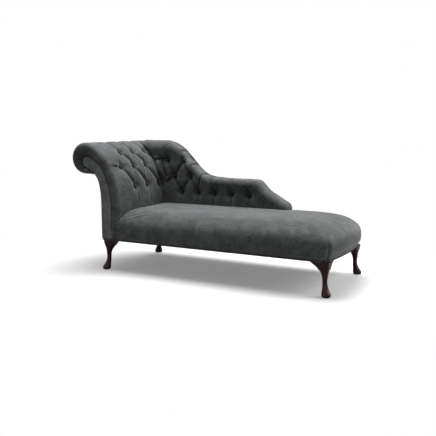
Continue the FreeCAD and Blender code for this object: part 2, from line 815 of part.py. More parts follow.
# Legs, with the bolts and nuts that hold them
names = ["leg_front_head", "leg_front_foot", "leg_rear_head", "leg_rear_foot"]
one_leg = leg()
for name, (right, rear) in zip(names, corners):
    nodes[name] = at_corner(one_leg, right, rear)
block_top = leg_height + block_height
bolt_foot = V(bolt_inset, bolt_inset, leg_height - bolt_in_leg)
bolt = Part.makeCylinder(bolt_radius, bolt_in_leg + block_height + bolt_above_block, bolt_foot)
nut_radius = nut_across / math.sqrt(3)
nut_seat = V(bolt_inset, bolt_inset, block_top)
hexagon = []
for i in range(7):
    angle = math.radians(60 * i)
    hexagon.append(nut_seat + V(nut_radius * math.cos(angle), nut_radius * math.sin(angle), 0))
nut = Part.Face(Part.makePolygon(hexagon)).extrude(V(0, 0, nut_height))
thread_foot = V(bolt_inset, bolt_inset, block_top - cut_over)
thread = Part.makeCylinder(bolt_radius + thread_clearance, nut_height + 2 * cut_over, thread_foot)
nut = nut.cut(thread)
pad_middle = leg_sections[-1][1]
glide = Part.makeCylinder(glide_radius, glide_height, V(pad_middle, pad_middle, 0))
for name, piece in [("leg_bolts", bolt), ("leg_nuts", nut), ("leg_glides", glide)]:
    nodes[name] = group([at_corner(piece, right, rear) for right, rear in corners])

# The origin goes to the middle of the footprint, on the floor
whole = [shape.optimalBoundingBox(False, False) for shape in nodes.values()]
middle_x = 0.5 * (min(b.XMin for b in whole) + max(b.XMax for b in whole))
middle_y = 0.5 * (min(b.YMin for b in whole) + max(b.YMax for b in whole))
for name, shape in nodes.items():
    shape.translate(V(-middle_x, -middle_y, 0))
    shape.exportStep("parts/" + name + ".step")
print("length", max(b.XMax for b in whole) - min(b.XMin for b in whole))
print("depth", max(b.YMax for b in whole) - min(b.YMin for b in whole))
print("height", max(b.ZMax for b in whole), "lowest", min(b.ZMin for b in whole))
print("origin lies at", middle_x, middle_y)
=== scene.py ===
import math

import bpy
import numpy as np
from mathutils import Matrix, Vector


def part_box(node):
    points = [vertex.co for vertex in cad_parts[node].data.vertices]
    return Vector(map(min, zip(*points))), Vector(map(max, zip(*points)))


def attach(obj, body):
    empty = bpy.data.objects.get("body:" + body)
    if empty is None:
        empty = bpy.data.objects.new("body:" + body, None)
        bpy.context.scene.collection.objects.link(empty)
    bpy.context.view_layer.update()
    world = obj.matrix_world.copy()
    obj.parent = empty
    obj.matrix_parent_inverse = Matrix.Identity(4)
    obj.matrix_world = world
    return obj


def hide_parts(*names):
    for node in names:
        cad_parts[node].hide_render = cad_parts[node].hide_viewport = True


# Chaise longue: the covers, padding, buttons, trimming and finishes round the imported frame.
# Sizes are in metres. Inside the functions places are given from the head end's face, the
# front line and the floor, and place() moves them to the frame's own origin.

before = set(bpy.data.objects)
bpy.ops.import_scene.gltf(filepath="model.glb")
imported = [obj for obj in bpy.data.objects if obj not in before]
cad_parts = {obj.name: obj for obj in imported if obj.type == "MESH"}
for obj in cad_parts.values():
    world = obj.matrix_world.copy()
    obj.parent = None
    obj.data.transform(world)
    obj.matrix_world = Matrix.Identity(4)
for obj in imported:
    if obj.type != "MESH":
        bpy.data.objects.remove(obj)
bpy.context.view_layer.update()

# Frame: heights and lines that the covers follow
CLEARANCE = 0.0003
FRAME_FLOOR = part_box("arm_front_board")[0].z
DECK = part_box("seat_webbing")[1].z
BOARD_SETBACK = 0.012
WELT_SETBACK = 0.0005
WELT_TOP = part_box("bottom_welt")[1].z
HEAD_X = 0.005
BODY_DEPTH = 0.606
ORIGIN_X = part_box("bottom_welt")[0].x - WELT_SETBACK - HEAD_X
ORIGIN_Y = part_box("arm_front_board")[0].y - BOARD_SETBACK
BOARD_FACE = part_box("back_board")[0].y - ORIGIN_Y
REAR_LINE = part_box("back_board")[1].y - ORIGIN_Y

# Arm scroll and its padded line
ARM_INNER_X = 0.080
ARM_STRAIGHT = 0.192
INNER_TURNS = [("left", 0.450, 30.0), ("left", 0.160, 47.0), ("left", 0.034, 166.0)]
OUTER_STRAIGHT = 0.222
OUTER_TURNS = [("left", 0.500, 12.6), ("left", 0.126, 56.8)]
ARM_PADDING = 0.048
PAD_SWEEP = 0.520
SWEEP_TURN = 30.0
ROLL_CENTRE = (-0.120, 0.660)
ROLL_RADIUS = 0.092
LINING = 0.0033
FACING_FRONT = 0.004
PAD_FRONT = -0.003
SHOULDER = 0.030
SEAM_DEPTH = 0.0095
PAD_REAR_ROUND = 0.008
GATHER_DEPTH = 0.0075
GATHER_PITCH = 0.0235

# Back: its crest and its padding
BACK_FRONT = 0.500
CREST_START = (-0.095, 0.7485)
CREST_HEADING = 9.53
CREST_TURNS = [
    ("right", 0.5436, 9.53), ("go", 0.095), ("right", 0.230, 46.0), ("go", 0.139),
    ("left", 0.180, 42.0), ("go", 0.060), ("left", 0.860, 4.0), ("go", 0.165),
    ("right", 0.060, 47.0), ("go", 0.040), ("left", 0.150, 18.0), ("go", 0.112),
    ("right", 0.040, 61.0),
]
CREST_ROUND = 0.036
CREST_HEAD_ROUND = 0.060
ARM_CORNER_ROUND = 0.014
ARM_LINE_REACH = 0.30
CREST_ROUND_CHANGE = [0.09, 0.20]

# Puff in the corner of the arm and the back: its depth, heights, place and width
CORNER_PUFF = 0.026
PUFF_FOOT = 0.505
PUFF_TOP = 0.662
PUFF_PLACE = 0.016
PUFF_WIDTH = 0.022

# Deep buttoning
BUTTON_RADIUS = 0.011
TUFT_DEPTH = 0.022
TUFT_SPREAD = 0.017
PLEAT_DEPTH = 0.020
PLEAT_STEEP = 0.006
PLEAT_GENTLE = 0.024
RIM_PLEAT = 0.0065
RIM_REACH = 0.030
# Painted shade: its reach round a button, its width along a pleat, its strength and how dark it goes
BUTTON_SHADE_REACH = 0.014
PLEAT_SHADE_WIDTH = 0.0045
PAINTED_SHADE_STRENGTH = 0.85
PAINTED_SHADE_COLOUR = 0.12
ARM_TOP_PLEAT = 0.34
ARM_FOOT_PLEAT = 0.125
BACK_FOOT_PLEAT = 0.11
ARM_PITCH = 0.129
ARM_ROWS = [(0.556, 0.218, 3), (0.446, 0.142, 4), (0.311, 0.222, 3)]
BACK_PITCH = 0.1185
BACK_ROWS = [(0.432, 0.255, 5), (0.531, 0.199, 2), (0.630, 0.150, 2)]
DIAMOND_REACH = 0.75

# Seat
FOOT_END_X = 1.403
FOOT_BOW = 0.020
CORNER_RADIUS = 0.055
SEAT_HEIGHT = 0.169
SEAT_SWELL = 0.010
SEAT_SWELL_HEIGHT = 0.054
SEAT_ROLL_DEPTH = 0.235
SEAT_ROLL_FULLNESS = 2.5
SEAT_REAR_SHARE = 0.5
SEAT_REAR_BULGE = 0.002
SEAT_HEAD_SHARE = 0.35
SEAT_CORNER_GROWTH = 0.25
ARM_NIB_END = 0.028
SEAT_NIB_ROUND = 0.015
SEAT_NIB_DEPTH = 0.03
SEAT_FOOT_FULLNESS = 0.008
SEAT_FOOT_RUN = 0.25
SEAT_FACE_SIZE = 0.009
SEAT_PRESSURE = 4.0
SEAT_SWELL_LIMIT = 0.005

# Folds of the seat's cover at a foot corner: turn from the long side, height, depth and width
SEAT_FOLDS = [(2.0, 0.07, 0.0022, 4.0), (30.0, 0.07, 0.0025, 4.0), (54.0, 0.12, 0.0075, 6.0)]

# Where the rim's pleats reach the crest, as (height, along), and the button that each comes from
RIMS = [(0.744, 0.121), (0.671, 0.255), (0.594, 0.326), (0.534, 0.398), (0.508, 0.463),
        (0.520, 0.584), (0.521, 0.707)]
RIM_BUTTONS = [(2, 0), (2, 1), (1, 1), (0, 1), (0, 2), (0, 3), (0, 4)]

# Trimming
PIPING_RADIUS = 0.0028
PIPING_STEP = 0.0015
PIPING_GATHER = 0.017
WELT_RADIUS = 0.0048
WELT_GATHER = 0.021
OUTSIDE_CLOTH = 0.001
DUST_SAG = 0.0035
DUST_BAYS = 3.0
BUTTON_SEAT = 0.021
STRAP_WIDTH = 0.050
STRAP_COUNT = 10

# Room in the dust cloth round a leg: its block, its two wings and the space beyond them
LEG_BLOCK = 0.079
LEG_WING = 0.037
LEG_ROOM = 0.02

# Folds in the corner of the arm and the back, each from one (height, along) to another
CORNER_FOLDS = [((0.642, 0.154), (0.638, 0.102)), ((0.638, 0.102), (0.628, 0.050)),
                ((0.638, 0.104), (0.530, 0.142)), ((0.532, 0.199), (0.500, 0.150))]


def place(points):
    """Places from the head end, front line and floor, moved to the frame's origin."""
    return np.asarray(points) + np.array([ORIGIN_X, ORIGIN_Y, 0.0])


def pick(obj):
    """Deselects everything else and makes one object active."""
    bpy.ops.object.select_all(action="DESELECT")
    obj.select_set(True)
    bpy.context.view_layer.objects.active = obj


def change(obj, kind, **settings):
    """Adds one modifier with its settings and applies it."""
    pick(obj)
    modifier = obj.modifiers.new(kind.lower(), kind)
    for label, value in settings.items():
        setattr(modifier, label, value)
    bpy.ops.object.modifier_apply(modifier=modifier.name)


def settle(obj):
    """Puts the object's place, turn and scale into its mesh."""
    pick(obj)
    bpy.ops.object.transform_apply(location=True, rotation=True, scale=True)


def coordinates(obj, kind="co"):
    flat = np.empty(len(obj.data.vertices) * 3)
    obj.data.vertices.foreach_get(kind, flat)
    return flat.reshape(-1, 3)


def move_to(obj, points):
    obj.data.vertices.foreach_set("co", np.asarray(points, float).ravel())
    obj.data.update()


def joined(pieces, name):
    """Several pieces made into one, with its name."""
    bpy.ops.object.select_all(action="DESELECT")
    for piece in pieces:
        piece.select_set(True)
    bpy.context.view_layer.objects.active = pieces[0]
    bpy.ops.object.join()
    obj = bpy.context.object
    obj.name = obj.data.name = name
    return obj


def box_of(node):
    """Low and high corners of a CAD node, from the head end, the front line and the floor."""
    return [np.array(corner) - place([0, 0, 0]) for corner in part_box(node)]


def finish_piece(obj, material, nodes=()):
    """Gives a piece its body, its finish and the CAD nodes that it stands for."""
    obj.data.materials.clear()
    obj.data.materials.append(material)
    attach(obj, "root")
    if nodes:
        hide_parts(*nodes)
    return obj


# Lines made of runs and arcs

def route(x, z, heading, moves):
    """Runs and arcs that follow without a corner, and the length at the end of each."""
    parts, marks = [], [0.0]
    heading = math.radians(heading)
    for kind, size, *turn in moves:
        bend = {"go": 0.0, "left": 1.0, "right": -1.0}[kind] / size
        run = size * math.radians(turn[0]) if turn else size
        parts.append((marks[-1], x, z, heading, bend))
        if bend:
            x += (math.sin(heading + bend * run) - math.sin(heading)) / bend
            z -= (math.cos(heading + bend * run) - math.cos(heading)) / bend
        else:
            x += run * math.cos(heading)
            z += run * math.sin(heading)
        heading += bend * run
        marks.append(marks[-1] + run)
    return parts, np.array(marks)


def along(parts, length):
    """Place and heading at lengths along a route."""
    length = np.asarray(length, float)
    x, z, h = np.zeros_like(length), np.zeros_like(length), np.zeros_like(length)
    for start, px, pz, heading, bend in parts:
        here = length >= start - 1e-12
        t = length[here] - start
        h[here] = heading + bend * t
        if bend:
            x[here] = px + (np.sin(heading + bend * t) - math.sin(heading)) / bend
            z[here] = pz - (np.cos(heading + bend * t) - math.cos(heading)) / bend
        else:
            x[here] = px + t * math.cos(heading)
            z[here] = pz + t * math.sin(heading)
    return x, z, h


def inner_route(z0, skin=0.0):
    rise = FRAME_FLOOR + ARM_STRAIGHT - z0
    turns = [(kind, size + skin, turn) for kind, size, turn in INNER_TURNS]
    return route(ARM_INNER_X + skin, z0, 90.0, [("go", rise)] + turns)


def outer_route(z0, skin=0.0):
    rise = FRAME_FLOOR + OUTER_STRAIGHT - z0
    turns = [(kind, size - skin, turn) for kind, size, turn in OUTER_TURNS]
    return route(HEAD_X - skin, z0, 90.0, [("go", rise)] + turns)


def pad_route(z0):
    """Padded line of the arm: up, over the roll and back along its underside."""
    turn = math.radians(SWEEP_TURN)
    x1 = ARM_INNER_X + ARM_PADDING - PAD_SWEEP * (1 - math.cos(turn))
    z1 = FRAME_FLOOR + ARM_STRAIGHT + PAD_SWEEP * math.sin(turn)
    dx, dz = x1 - ROLL_CENTRE[0], z1 - ROLL_CENTRE[1]
    reach = dx * math.cos(turn) + dz * math.sin(turn)
    bend = (ROLL_RADIUS ** 2 - dx * dx - dz * dz) / (2 * (ROLL_RADIUS - reach))
    meet = math.degrees(math.atan2(ROLL_CENTRE[1] - z1 + bend * math.sin(turn),
                                   ROLL_CENTRE[0] - x1 + bend * math.cos(turn)))
    moves = [
        ("go", FRAME_FLOOR + ARM_STRAIGHT - z0),
        ("left", PAD_SWEEP, SWEEP_TURN),
        ("left", bend, meet - SWEEP_TURN),
        ("left", ROLL_RADIUS, 270.0 - meet),
        ("go", UNDERSIDE_X - ROLL_CENTRE[0]),
    ]
    return route(ARM_INNER_X + ARM_PADDING, z0, 90.0, moves)


# The underside of the roll meets the outer line of the scroll at its own height
outer_parts, outer_marks = outer_route(FRAME_FLOOR)
outer_fine = np.linspace(outer_marks[-2], outer_marks[-1], 400)
outer_x, outer_z, _ = along(outer_parts, outer_fine)
level = int(np.argmin(np.abs(outer_z - (ROLL_CENTRE[1] - ROLL_RADIUS))))
UNDERSIDE_X = float(outer_x[level])
PAD_FOOT = DECK + CLEARANCE
pad_parts, pad_marks = pad_route(PAD_FOOT)
in_parts, in_marks = inner_route(PAD_FOOT)
RUN_AT_FOOT = PAD_FOOT - FRAME_FLOOR


def lining_line(length):
    """The scroll's own line beside each length along the padded line."""
    share = np.interp(length, pad_marks, [*in_marks, in_marks[-1] + 1.0])
    x, z, _ = along(in_parts, np.minimum(share, in_marks[-1]))
    left = np.clip(share - in_marks[-1], 0.0, 1.0)
    end_x, end_z, _ = along(in_parts, in_marks[-1:])
    bend_x = np.concatenate([end_x, outer_x[:level - 1:-1]])
    bend_z = np.concatenate([end_z, outer_z[:level - 1:-1]])
    steps = np.linspace(0, 1, len(bend_x))
    under = left > 0
    x[under] = np.interp(left[under], steps, bend_x)
    z[under] = np.interp(left[under], steps, bend_z)
    return x, z


# Buttoning

def button_spots(rows, pitch):
    """Buttons in rows, each row at a height, from a start and with a count."""
    return [[(run, start + pitch * i) for i in range(count)] for run, start, count in rows]


def diamond_pleats(rows, pitch):
    """Pleats from each button to its neighbours in the next row."""
    return [(a, b, 1.0, 0.8) for low, high in zip(rows, rows[1:]) for a in low for b in high
            if abs(a[1] - b[1]) < DIAMOND_REACH * pitch]


def beside_line(u, v, a, b):
    """Share of the way from a to b that each (u, v) lies beside, and its two distances off it."""
    du, dv = b[0] - a[0], b[1] - a[1]
    held = np.clip(((u - a[0]) * du + (v - a[1]) * dv) / (du * du + dv * dv), 0, 1)
    return held, u - a[0] - held * du, v - a[1] - held * dv


def buttoned(u, v, rows, pleats):
    """How far the cover is pulled in at (u, v): u runs up the piece and v across it."""
    total = np.zeros_like(u)
    for bu, bv in sum(rows, []):
        r = np.maximum(np.hypot(u - bu, v - bv) - BUTTON_RADIUS, 0)
        total += (TUFT_DEPTH / (1 + (r / TUFT_SPREAD) ** 2)) ** 3
    for a, b, first, last, *narrow in pleats:
        held, off_u, off_v = beside_line(u, v, a, b)
        steep = 0.5 + 0.5 * np.tanh(off_u / 0.004) * abs(b[1] - a[1]) / math.dist(a, b)
        fall = narrow[0] if narrow else PLEAT_GENTLE + (PLEAT_STEEP - PLEAT_GENTLE) * steep
        depth = PLEAT_DEPTH * (first + (last - first) * held)
        total += (depth * np.exp(-np.hypot(off_u, off_v) / fall)) ** 3
    return total ** (1 / 3)


def painted_crease_shade(u, v, rows, pleats):
    """How much painted shade darkens the pile at (u, v), from 0 to 1: shade is painted into the button
    hollows and along the pleats.
    """
    shade_mask = np.zeros_like(u)
    for bu, bv in sum(rows, []):
        shade_mask = np.maximum(shade_mask, np.exp(-(np.hypot(u - bu, v - bv) / BUTTON_SHADE_REACH) ** 2))
    for a, b, first, last, *_ in pleats:
        held, off_u, off_v = beside_line(u, v, a, b)
        line = np.exp(-np.hypot(off_u, off_v) / PLEAT_SHADE_WIDTH)
        shade_mask = np.maximum(shade_mask, (first + (last - first) * held) * line)
    return shade_mask


# Padded pieces

def net_piece(name, points):
    """A grid of faces through a net of points, with the row and column of each corner."""
    rows, columns = points.shape[:2]
    bpy.ops.object.select_all(action="DESELECT")
    bpy.ops.mesh.primitive_grid_add(x_subdivisions=columns - 1, y_subdivisions=rows - 1, size=1.0)
    obj = bpy.context.object
    obj.name = obj.data.name = name
    at = coordinates(obj)
    column = np.rint((at[:, 0] + 0.5) * (columns - 1)).astype(int)
    row = np.rint((at[:, 1] + 0.5) * (rows - 1)).astype(int)
    move_to(obj, place(points[row, column]))
    return obj, row, column


def skin_grid(name, points, crease_shade=None):
    """A closed skin through a net of points: its last column joins its first."""
    obj, row, column = net_piece(name, points)
    # The optional per-point value is painted shade, kept as an attribute for the material
    if crease_shade is not None:
        layer = obj.data.attributes.new("crease_shade", "FLOAT", "POINT")
        layer.data.foreach_set("value", crease_shade[row, column].astype(np.float32))
    bpy.ops.object.mode_set(mode="EDIT")
    bpy.ops.mesh.select_all(action="SELECT")
    bpy.ops.mesh.remove_doubles(threshold=1e-6)
    bpy.ops.mesh.select_all(action="SELECT")
    bpy.ops.mesh.fill_holes(sides=0)
    bpy.ops.mesh.select_all(action="SELECT")
    bpy.ops.mesh.normals_make_consistent(inside=False)
    bpy.ops.object.mode_set(mode="OBJECT")
    bpy.ops.object.shade_smooth()
    return obj


def make_arm_pad(material):
    """Buttoned padding of the inside arm, round its roll, with its gathered front end."""
    rows, columns = 280, 176
    s = np.linspace(0, pad_marks[-1] - 0.002, rows + 1)
    px, pz, ph = along(pad_parts, s)
    ix, iz = lining_line(s)
    width = np.hypot(px - ix, pz - iz)
    out_x, out_z = np.sin(ph), -np.cos(ph)
    ex = (px - ix) + 1e-4 * out_x
    ez = (pz - iz) + 1e-4 * out_z
    size = np.hypot(ex, ez)
    ex, ez = ex / size, ez / size

    # Columns round a section: inner face, front seam, gathered front, shoulder, outer face, rear
    rolled = np.clip((s - pad_marks[3]) / 0.05, 0, 1)
    rear = (BOARD_FACE - CLEARANCE) + (REAR_LINE - BOARD_FACE) * rolled
    round_over = np.minimum(SHOULDER, 0.62 * width)
    each = np.ones_like(s)
    section = []
    for share in np.linspace(1, 0, 6):
        section.append((np.minimum(LINING, 0.3 * width),
                        BOARD_SETBACK + (rear - BOARD_SETBACK) * share, 0.0))
    section.append((0.0, BOARD_SETBACK - 0.0005, 0.0))
    for share in np.linspace(0, 1, 18):
        rise = 1 - (1 - min(share * 1.6, 1)) ** 2
        section.append(((width - round_over) * share, SEAM_DEPTH - (SEAM_DEPTH - PAD_FRONT) * rise, 0.0))
    for angle in np.linspace(0, 0.5 * math.pi, 14)[1:]:
        section.append((width - round_over * (1 - math.sin(angle)),
                        PAD_FRONT + round_over * (1 - math.cos(angle)), math.sin(angle) ** 3))
    shoulder_end = PAD_FRONT + round_over
    outer = columns - len(section) - 6
    for share in np.linspace(0, 1, outer + 1)[1:]:
        section.append((width, shoulder_end + (rear - PAD_REAR_ROUND - shoulder_end) * share, 1.0))
    for angle in np.linspace(0, 0.5 * math.pi, 5)[1:]:
        section.append((width - PAD_REAR_ROUND * (1 - math.cos(angle)),
                        rear - PAD_REAR_ROUND * (1 - math.sin(angle)), math.cos(angle)))
    section.append(section[0])
    across, depth, pull = (np.array([each * part[i] for part in section]).T for i in range(3))

    # Buttons and pleats over the outer face
    u = np.repeat((s + RUN_AT_FOOT)[:, None], across.shape[1], axis=1)
    spots = button_spots(ARM_ROWS, ARM_PITCH)
    pleats = diamond_pleats(spots, ARM_PITCH)
    for ru, rv in spots[0]:
        pleats.append(((ru, rv), (ru + ARM_TOP_PLEAT, rv), 0.95, 0.15))
    for ru, rv in spots[-1]:
        pleats.append(((ru, rv), (ru - ARM_FOOT_PLEAT, rv), 0.6, 0.0))
    first = spots[1][0]
    pleats.append((first, (first[0] + 0.004, 0.020), 1.0, 0.2))
    pulled = buttoned(u, depth, spots, pleats) * pull
    # Painted shade round the buttons and along the pleats of the arm
    crease_shade = painted_crease_shade(u, depth, spots, pleats) * pull

    # Gathers round the roll's end: they start at the facing and die out at the shoulder
    past_seam = s - pad_marks[3]
    turn = np.clip((past_seam + 0.06) / 0.06, 0, 1) * np.clip((pad_marks[5] - s) / 0.05, 0, 1)
    wave = (0.5 + 0.5 * np.cos(2 * math.pi * past_seam / GATHER_PITCH)) ** 2 * turn
    share = across / np.maximum(width, 1e-4)[:, None]
    near = np.clip(1 - share, 0, 1) ** 0.7 * (depth < 0.05)
    gather = GATHER_DEPTH * wave[:, None] * near
    x = ix[:, None] + ex[:, None] * across - out_x[:, None] * pulled
    z = iz[:, None] + ez[:, None] * across - out_z[:, None] * pulled
    y = depth + gather * (depth < BOARD_SETBACK - 0.001)
    net = np.stack([x, y, z], axis=2)
    net[:, -1] = net[:, 0]
    # Painted shade in the gathers round the roll's end
    crease_shade = np.maximum(crease_shade, 0.8 * wave[:, None] * near)
    crease_shade[:, -1] = crease_shade[:, 0]
    obj = skin_grid("inside_arm_padding", net, crease_shade)
    return finish_piece(obj, material, ["inside_arm_cover", "arm_foam"])


def distance_to(x, z, line_x, line_z, line_h):
    """Distance from each place to a line, and the line's heading at its nearest point."""
    flat_x, flat_z = x.ravel(), z.ravel()
    away, heading = np.empty_like(flat_x), np.empty_like(flat_x)
    for i in range(0, len(flat_x), 4000):
        d = np.hypot(flat_x[i:i + 4000, None] - line_x, flat_z[i:i + 4000, None] - line_z)
        best = d.argmin(axis=1)
        away[i:i + 4000] = d[np.arange(len(best)), best]
        heading[i:i + 4000] = line_h[best]
    return away.reshape(x.shape), heading.reshape(x.shape)


def make_back_pad(material):
    """Buttoned padding of the inside back, rolled over its crest."""
    crest_parts, crest_marks = route(*CREST_START, CREST_HEADING, CREST_TURNS)
    columns, face_rows = 300, 110
    t = np.linspace(0, crest_marks[-1], columns + 1)
    cx, cz, _ = along(crest_parts, t)
    right = cx[-1]
    left = ARM_INNER_X + ARM_PADDING + CLEARANCE
    spread = (cx - cx[0]) / (right - cx[0])
    foot_x = left + (right - left) * spread
    rows_down = 0.060 * np.linspace(0, 1, 15) ** 1.6
    height = cz - PAD_FOOT
    drops = []
    for i, drop in enumerate(rows_down):
        drops.append(np.minimum(drop, height * i / (len(rows_down) + face_rows)))
    start = drops[-1]
    for share in np.linspace(0, 1, face_rows + 1)[1:]:
        drops.append(start + (height - start) * share)
    drops = np.array(drops).T
    share = drops / height[:, None]
    x = cx[:, None] + (foot_x - cx)[:, None] * share
    z = cz[:, None] - drops

    # The first columns follow the arm's padded line
    arm_s = np.linspace(0, pad_marks[4], 900)
    ax, az, ah = along(pad_parts, arm_s)
    ax, az = ax + CLEARANCE * np.sin(ah), az - CLEARANCE * np.cos(ah)
    keep = az[:int(np.argmax(az)) + 1]
    lean_x = np.interp(z[0], keep, ax[:len(keep)])
    hold = np.clip(1 - (cx - cx[0]) / ARM_LINE_REACH, 0, 1) ** 1.5
    x += hold[:, None] * (lean_x - x[0])[None, :]

    # Distances from the crest and from the arm round the edges over
    fine = np.linspace(0, crest_marks[-1], 1500)
    fx, fz, fh = along(crest_parts, fine)
    down = np.linspace(fz[-1], PAD_FOOT, 60)
    fx = np.concatenate([fx, np.full_like(down, fx[-1])])
    fz = np.concatenate([fz, down])
    fh = np.concatenate([fh, np.full_like(down, -0.5 * math.pi)])
    away, nearest = distance_to(x, z, fx, fz, fh)
    arm_away, _ = distance_to(x, z, ax, az, ah)
    crest_round = np.interp(x, CREST_ROUND_CHANGE, [CREST_HEAD_ROUND, CREST_ROUND])
    over = np.clip(1 - away / crest_round, 0, 1)
    beside = np.clip(1 - arm_away / ARM_CORNER_ROUND, 0, 1)
    y = BACK_FRONT + crest_round * (1 - np.sqrt(np.clip(1 - over ** 2, 0, 1)))
    corner_y = BACK_FRONT + ARM_CORNER_ROUND * (1 - np.sqrt(np.clip(1 - beside ** 2, 0, 1)))
    y = np.maximum(y, corner_y)

    # The puff that fills the corner beside the arm
    tall = np.clip((z - PUFF_FOOT) / 0.060, 0, 1) * np.clip((PUFF_TOP - z) / 0.050, 0, 1)
    shape = np.exp(-((arm_away - PUFF_PLACE) / PUFF_WIDTH) ** 2)
    y -= CORNER_PUFF * shape * tall ** 2 * (3 - 2 * tall)
    lean = np.arcsin(over)
    nx, nz, ny = -np.sin(nearest) * np.sin(lean), np.cos(nearest) * np.sin(lean), -np.cos(lean)

    # Buttons and pleats, with the rim's pleats run out to the crest
    spots = button_spots(BACK_ROWS, BACK_PITCH)
    pleats = diamond_pleats(spots, BACK_PITCH)
    for rim, (row, column) in zip(RIMS, RIM_BUTTONS):
        button = spots[row][column]
        reach = 1 + RIM_REACH / math.hypot(rim[0] - button[0], rim[1] - button[1])
        end = tuple(b + (r - b) * reach for b, r in zip(button, rim))
        pleats.append((button, end, 1.0, 0.5, RIM_PLEAT))
    for bz, bx in spots[0]:
        pleats.append(((bz, bx), (bz - BACK_FOOT_PLEAT, bx), 0.7, 0.15))
    for a, b in CORNER_FOLDS:
        pleats.append((a, b, 0.9, 0.9))
    pulled = buttoned(z, x, spots, pleats)
    pulled *= np.clip(height / 0.10, 0, 1)[:, None]
    # Painted shade round the buttons and along the pleats of the back
    crease_shade = painted_crease_shade(z, x, spots, pleats)
    x, y, z = x - nx * pulled, y - ny * pulled, z - nz * pulled

    # Top strip, rear face and foot
    net = [np.stack([x[:, j], y[:, j], z[:, j]], axis=1) for j in range(x.shape[1])][::-1]
    top = net[-1]
    for share in np.linspace(0, 1, 9)[1:]:
        strip = top.copy()
        strip[:, 1] = top[:, 1] + (REAR_LINE - CLEARANCE - top[:, 1]) * share
        net.append(strip)
    for share in np.linspace(0, 1, 5)[1:]:
        strip = net[-1].copy() if share == 1 else top.copy()
        strip[:, 1] = REAR_LINE - CLEARANCE
        strip[:, 0] = cx + (foot_x - cx) * share
        strip[:, 2] = cz + (PAD_FOOT - cz) * share
        net.append(strip)
    net.append(net[0].copy())
    net = np.stack(net, axis=1)
    # Painted shade for the whole skin, with the added strips kept mostly plain
    plain = np.zeros((len(crease_shade), net.shape[1] - crease_shade.shape[1]))
    plain[:, :8] = crease_shade[:, :1]
    obj = skin_grid("inside_back_padding", net, np.hstack([crease_shade[:, ::-1], plain]))
    return finish_piece(obj, material, ["inside_back_cover", "back_foam"])


def plan_ring(x0, x1, y0, y1, radius, z, counts=(70, 16, 44, 16, 70, 30)):
    """Plan outline with a square head end, rounded foot corners and a bowed foot end."""
    def side(start, end, count):
        share = np.linspace(0, 1, count, endpoint=False)[:, None]
        return np.array(start) + (np.array(end) - np.array(start)) * share

    inner = x1 - radius
    a = np.linspace(0, 1, counts[1], endpoint=False) * 0.5 * math.pi
    t = np.linspace(-1, 1, counts[2], endpoint=False)
    ring = np.concatenate([
        side((x0, y0), (inner, y0), counts[0]),
        np.column_stack([inner + radius * np.sin(a), y0 + radius - radius * np.cos(a)]),
        np.column_stack([x1 + FOOT_BOW * (1 - t * t), 0.5 * (y0 + y1) + t * (0.5 * (y1 - y0) - radius)]),
        np.column_stack([inner + radius * np.cos(a), y1 - radius + radius * np.sin(a)]),
        side((inner, y1), (x0, y1), counts[4]),
        side((x0, y1), (x0, y0), counts[5]),
    ])
    return np.column_stack([ring, np.full(len(ring), z)])


def seat_ring(height, inset):
    """Outline of the seat at a height above its foot, moved in by inset."""
    drawn = max(inset, 0.0)
    x0 = ARM_INNER_X + CLEARANCE + drawn * SEAT_HEAD_SHARE
    y1 = BODY_DEPTH - max(inset * SEAT_REAR_SHARE, -SEAT_REAR_BULGE)
    radius = CORNER_RADIUS + drawn * SEAT_CORNER_GROWTH
    return plan_ring(x0, FOOT_END_X - inset, inset, y1, radius, WELT_TOP + CLEARANCE + height)


def cut_away(obj, x0, y0, z0, x1, y1, z1):
    """Takes a box out of a piece."""
    bpy.ops.object.select_all(action="DESELECT")
    low, high = place([x0, y0, z0]), place([x1, y1, z1])
    bpy.ops.mesh.primitive_cube_add(size=1.0, location=0.5 * (low + high))
    cutter = bpy.context.object
    cutter.scale = high - low
    settle(cutter)
    change(obj, "BOOLEAN", operation="DIFFERENCE", solver="MANIFOLD", object=cutter)
    bpy.data.objects.remove(cutter)


def swell(obj, held, pressure, cap, frames=20):
    """Cloth pressed out from inside, with its held points fixed and its movement capped."""
    start = coordinates(obj)
    group = obj.vertex_groups.new(name="held")
    group.add([int(i) for i in np.nonzero(held)[0]], 1.0, "REPLACE")
    pick(obj)
    cloth = obj.modifiers.new("swell", "CLOTH")
    values = {"quality": 4, "mass": 0.3, "tension_stiffness": 12.0, "compression_stiffness": 12.0,
              "bending_stiffness": 0.6, "use_pressure": True, "uniform_pressure_force": pressure,
              "vertex_group_mass": "held"}
    for label, value in values.items():
        setattr(cloth.settings, label, value)
    cloth.settings.effector_weights.gravity = 0.0
    cloth.point_cache.frame_start = 1
    cloth.point_cache.frame_end = frames
    for number in range(1, frames + 1):
        bpy.context.scene.frame_set(number)
    bpy.ops.object.modifier_apply(modifier=cloth.name)
    bpy.context.scene.frame_set(1)
    moved = coordinates(obj) - start
    size = np.linalg.norm(moved, axis=1)
    share = np.minimum(1.0, cap / np.maximum(size, 1e-9))
    move_to(obj, start + moved * share[:, None])
    obj.vertex_groups.clear()


def remesh(obj, voxel, smooth):
    """Even faces of about one voxel all over, smoothed a little."""
    pick(obj)
    obj.data.remesh_voxel_size = voxel
    obj.data.remesh_voxel_adaptivity = 0.0
    bpy.ops.object.voxel_remesh()
    change(obj, "SMOOTH", factor=0.5, iterations=smooth)
    bpy.ops.object.shade_smooth()



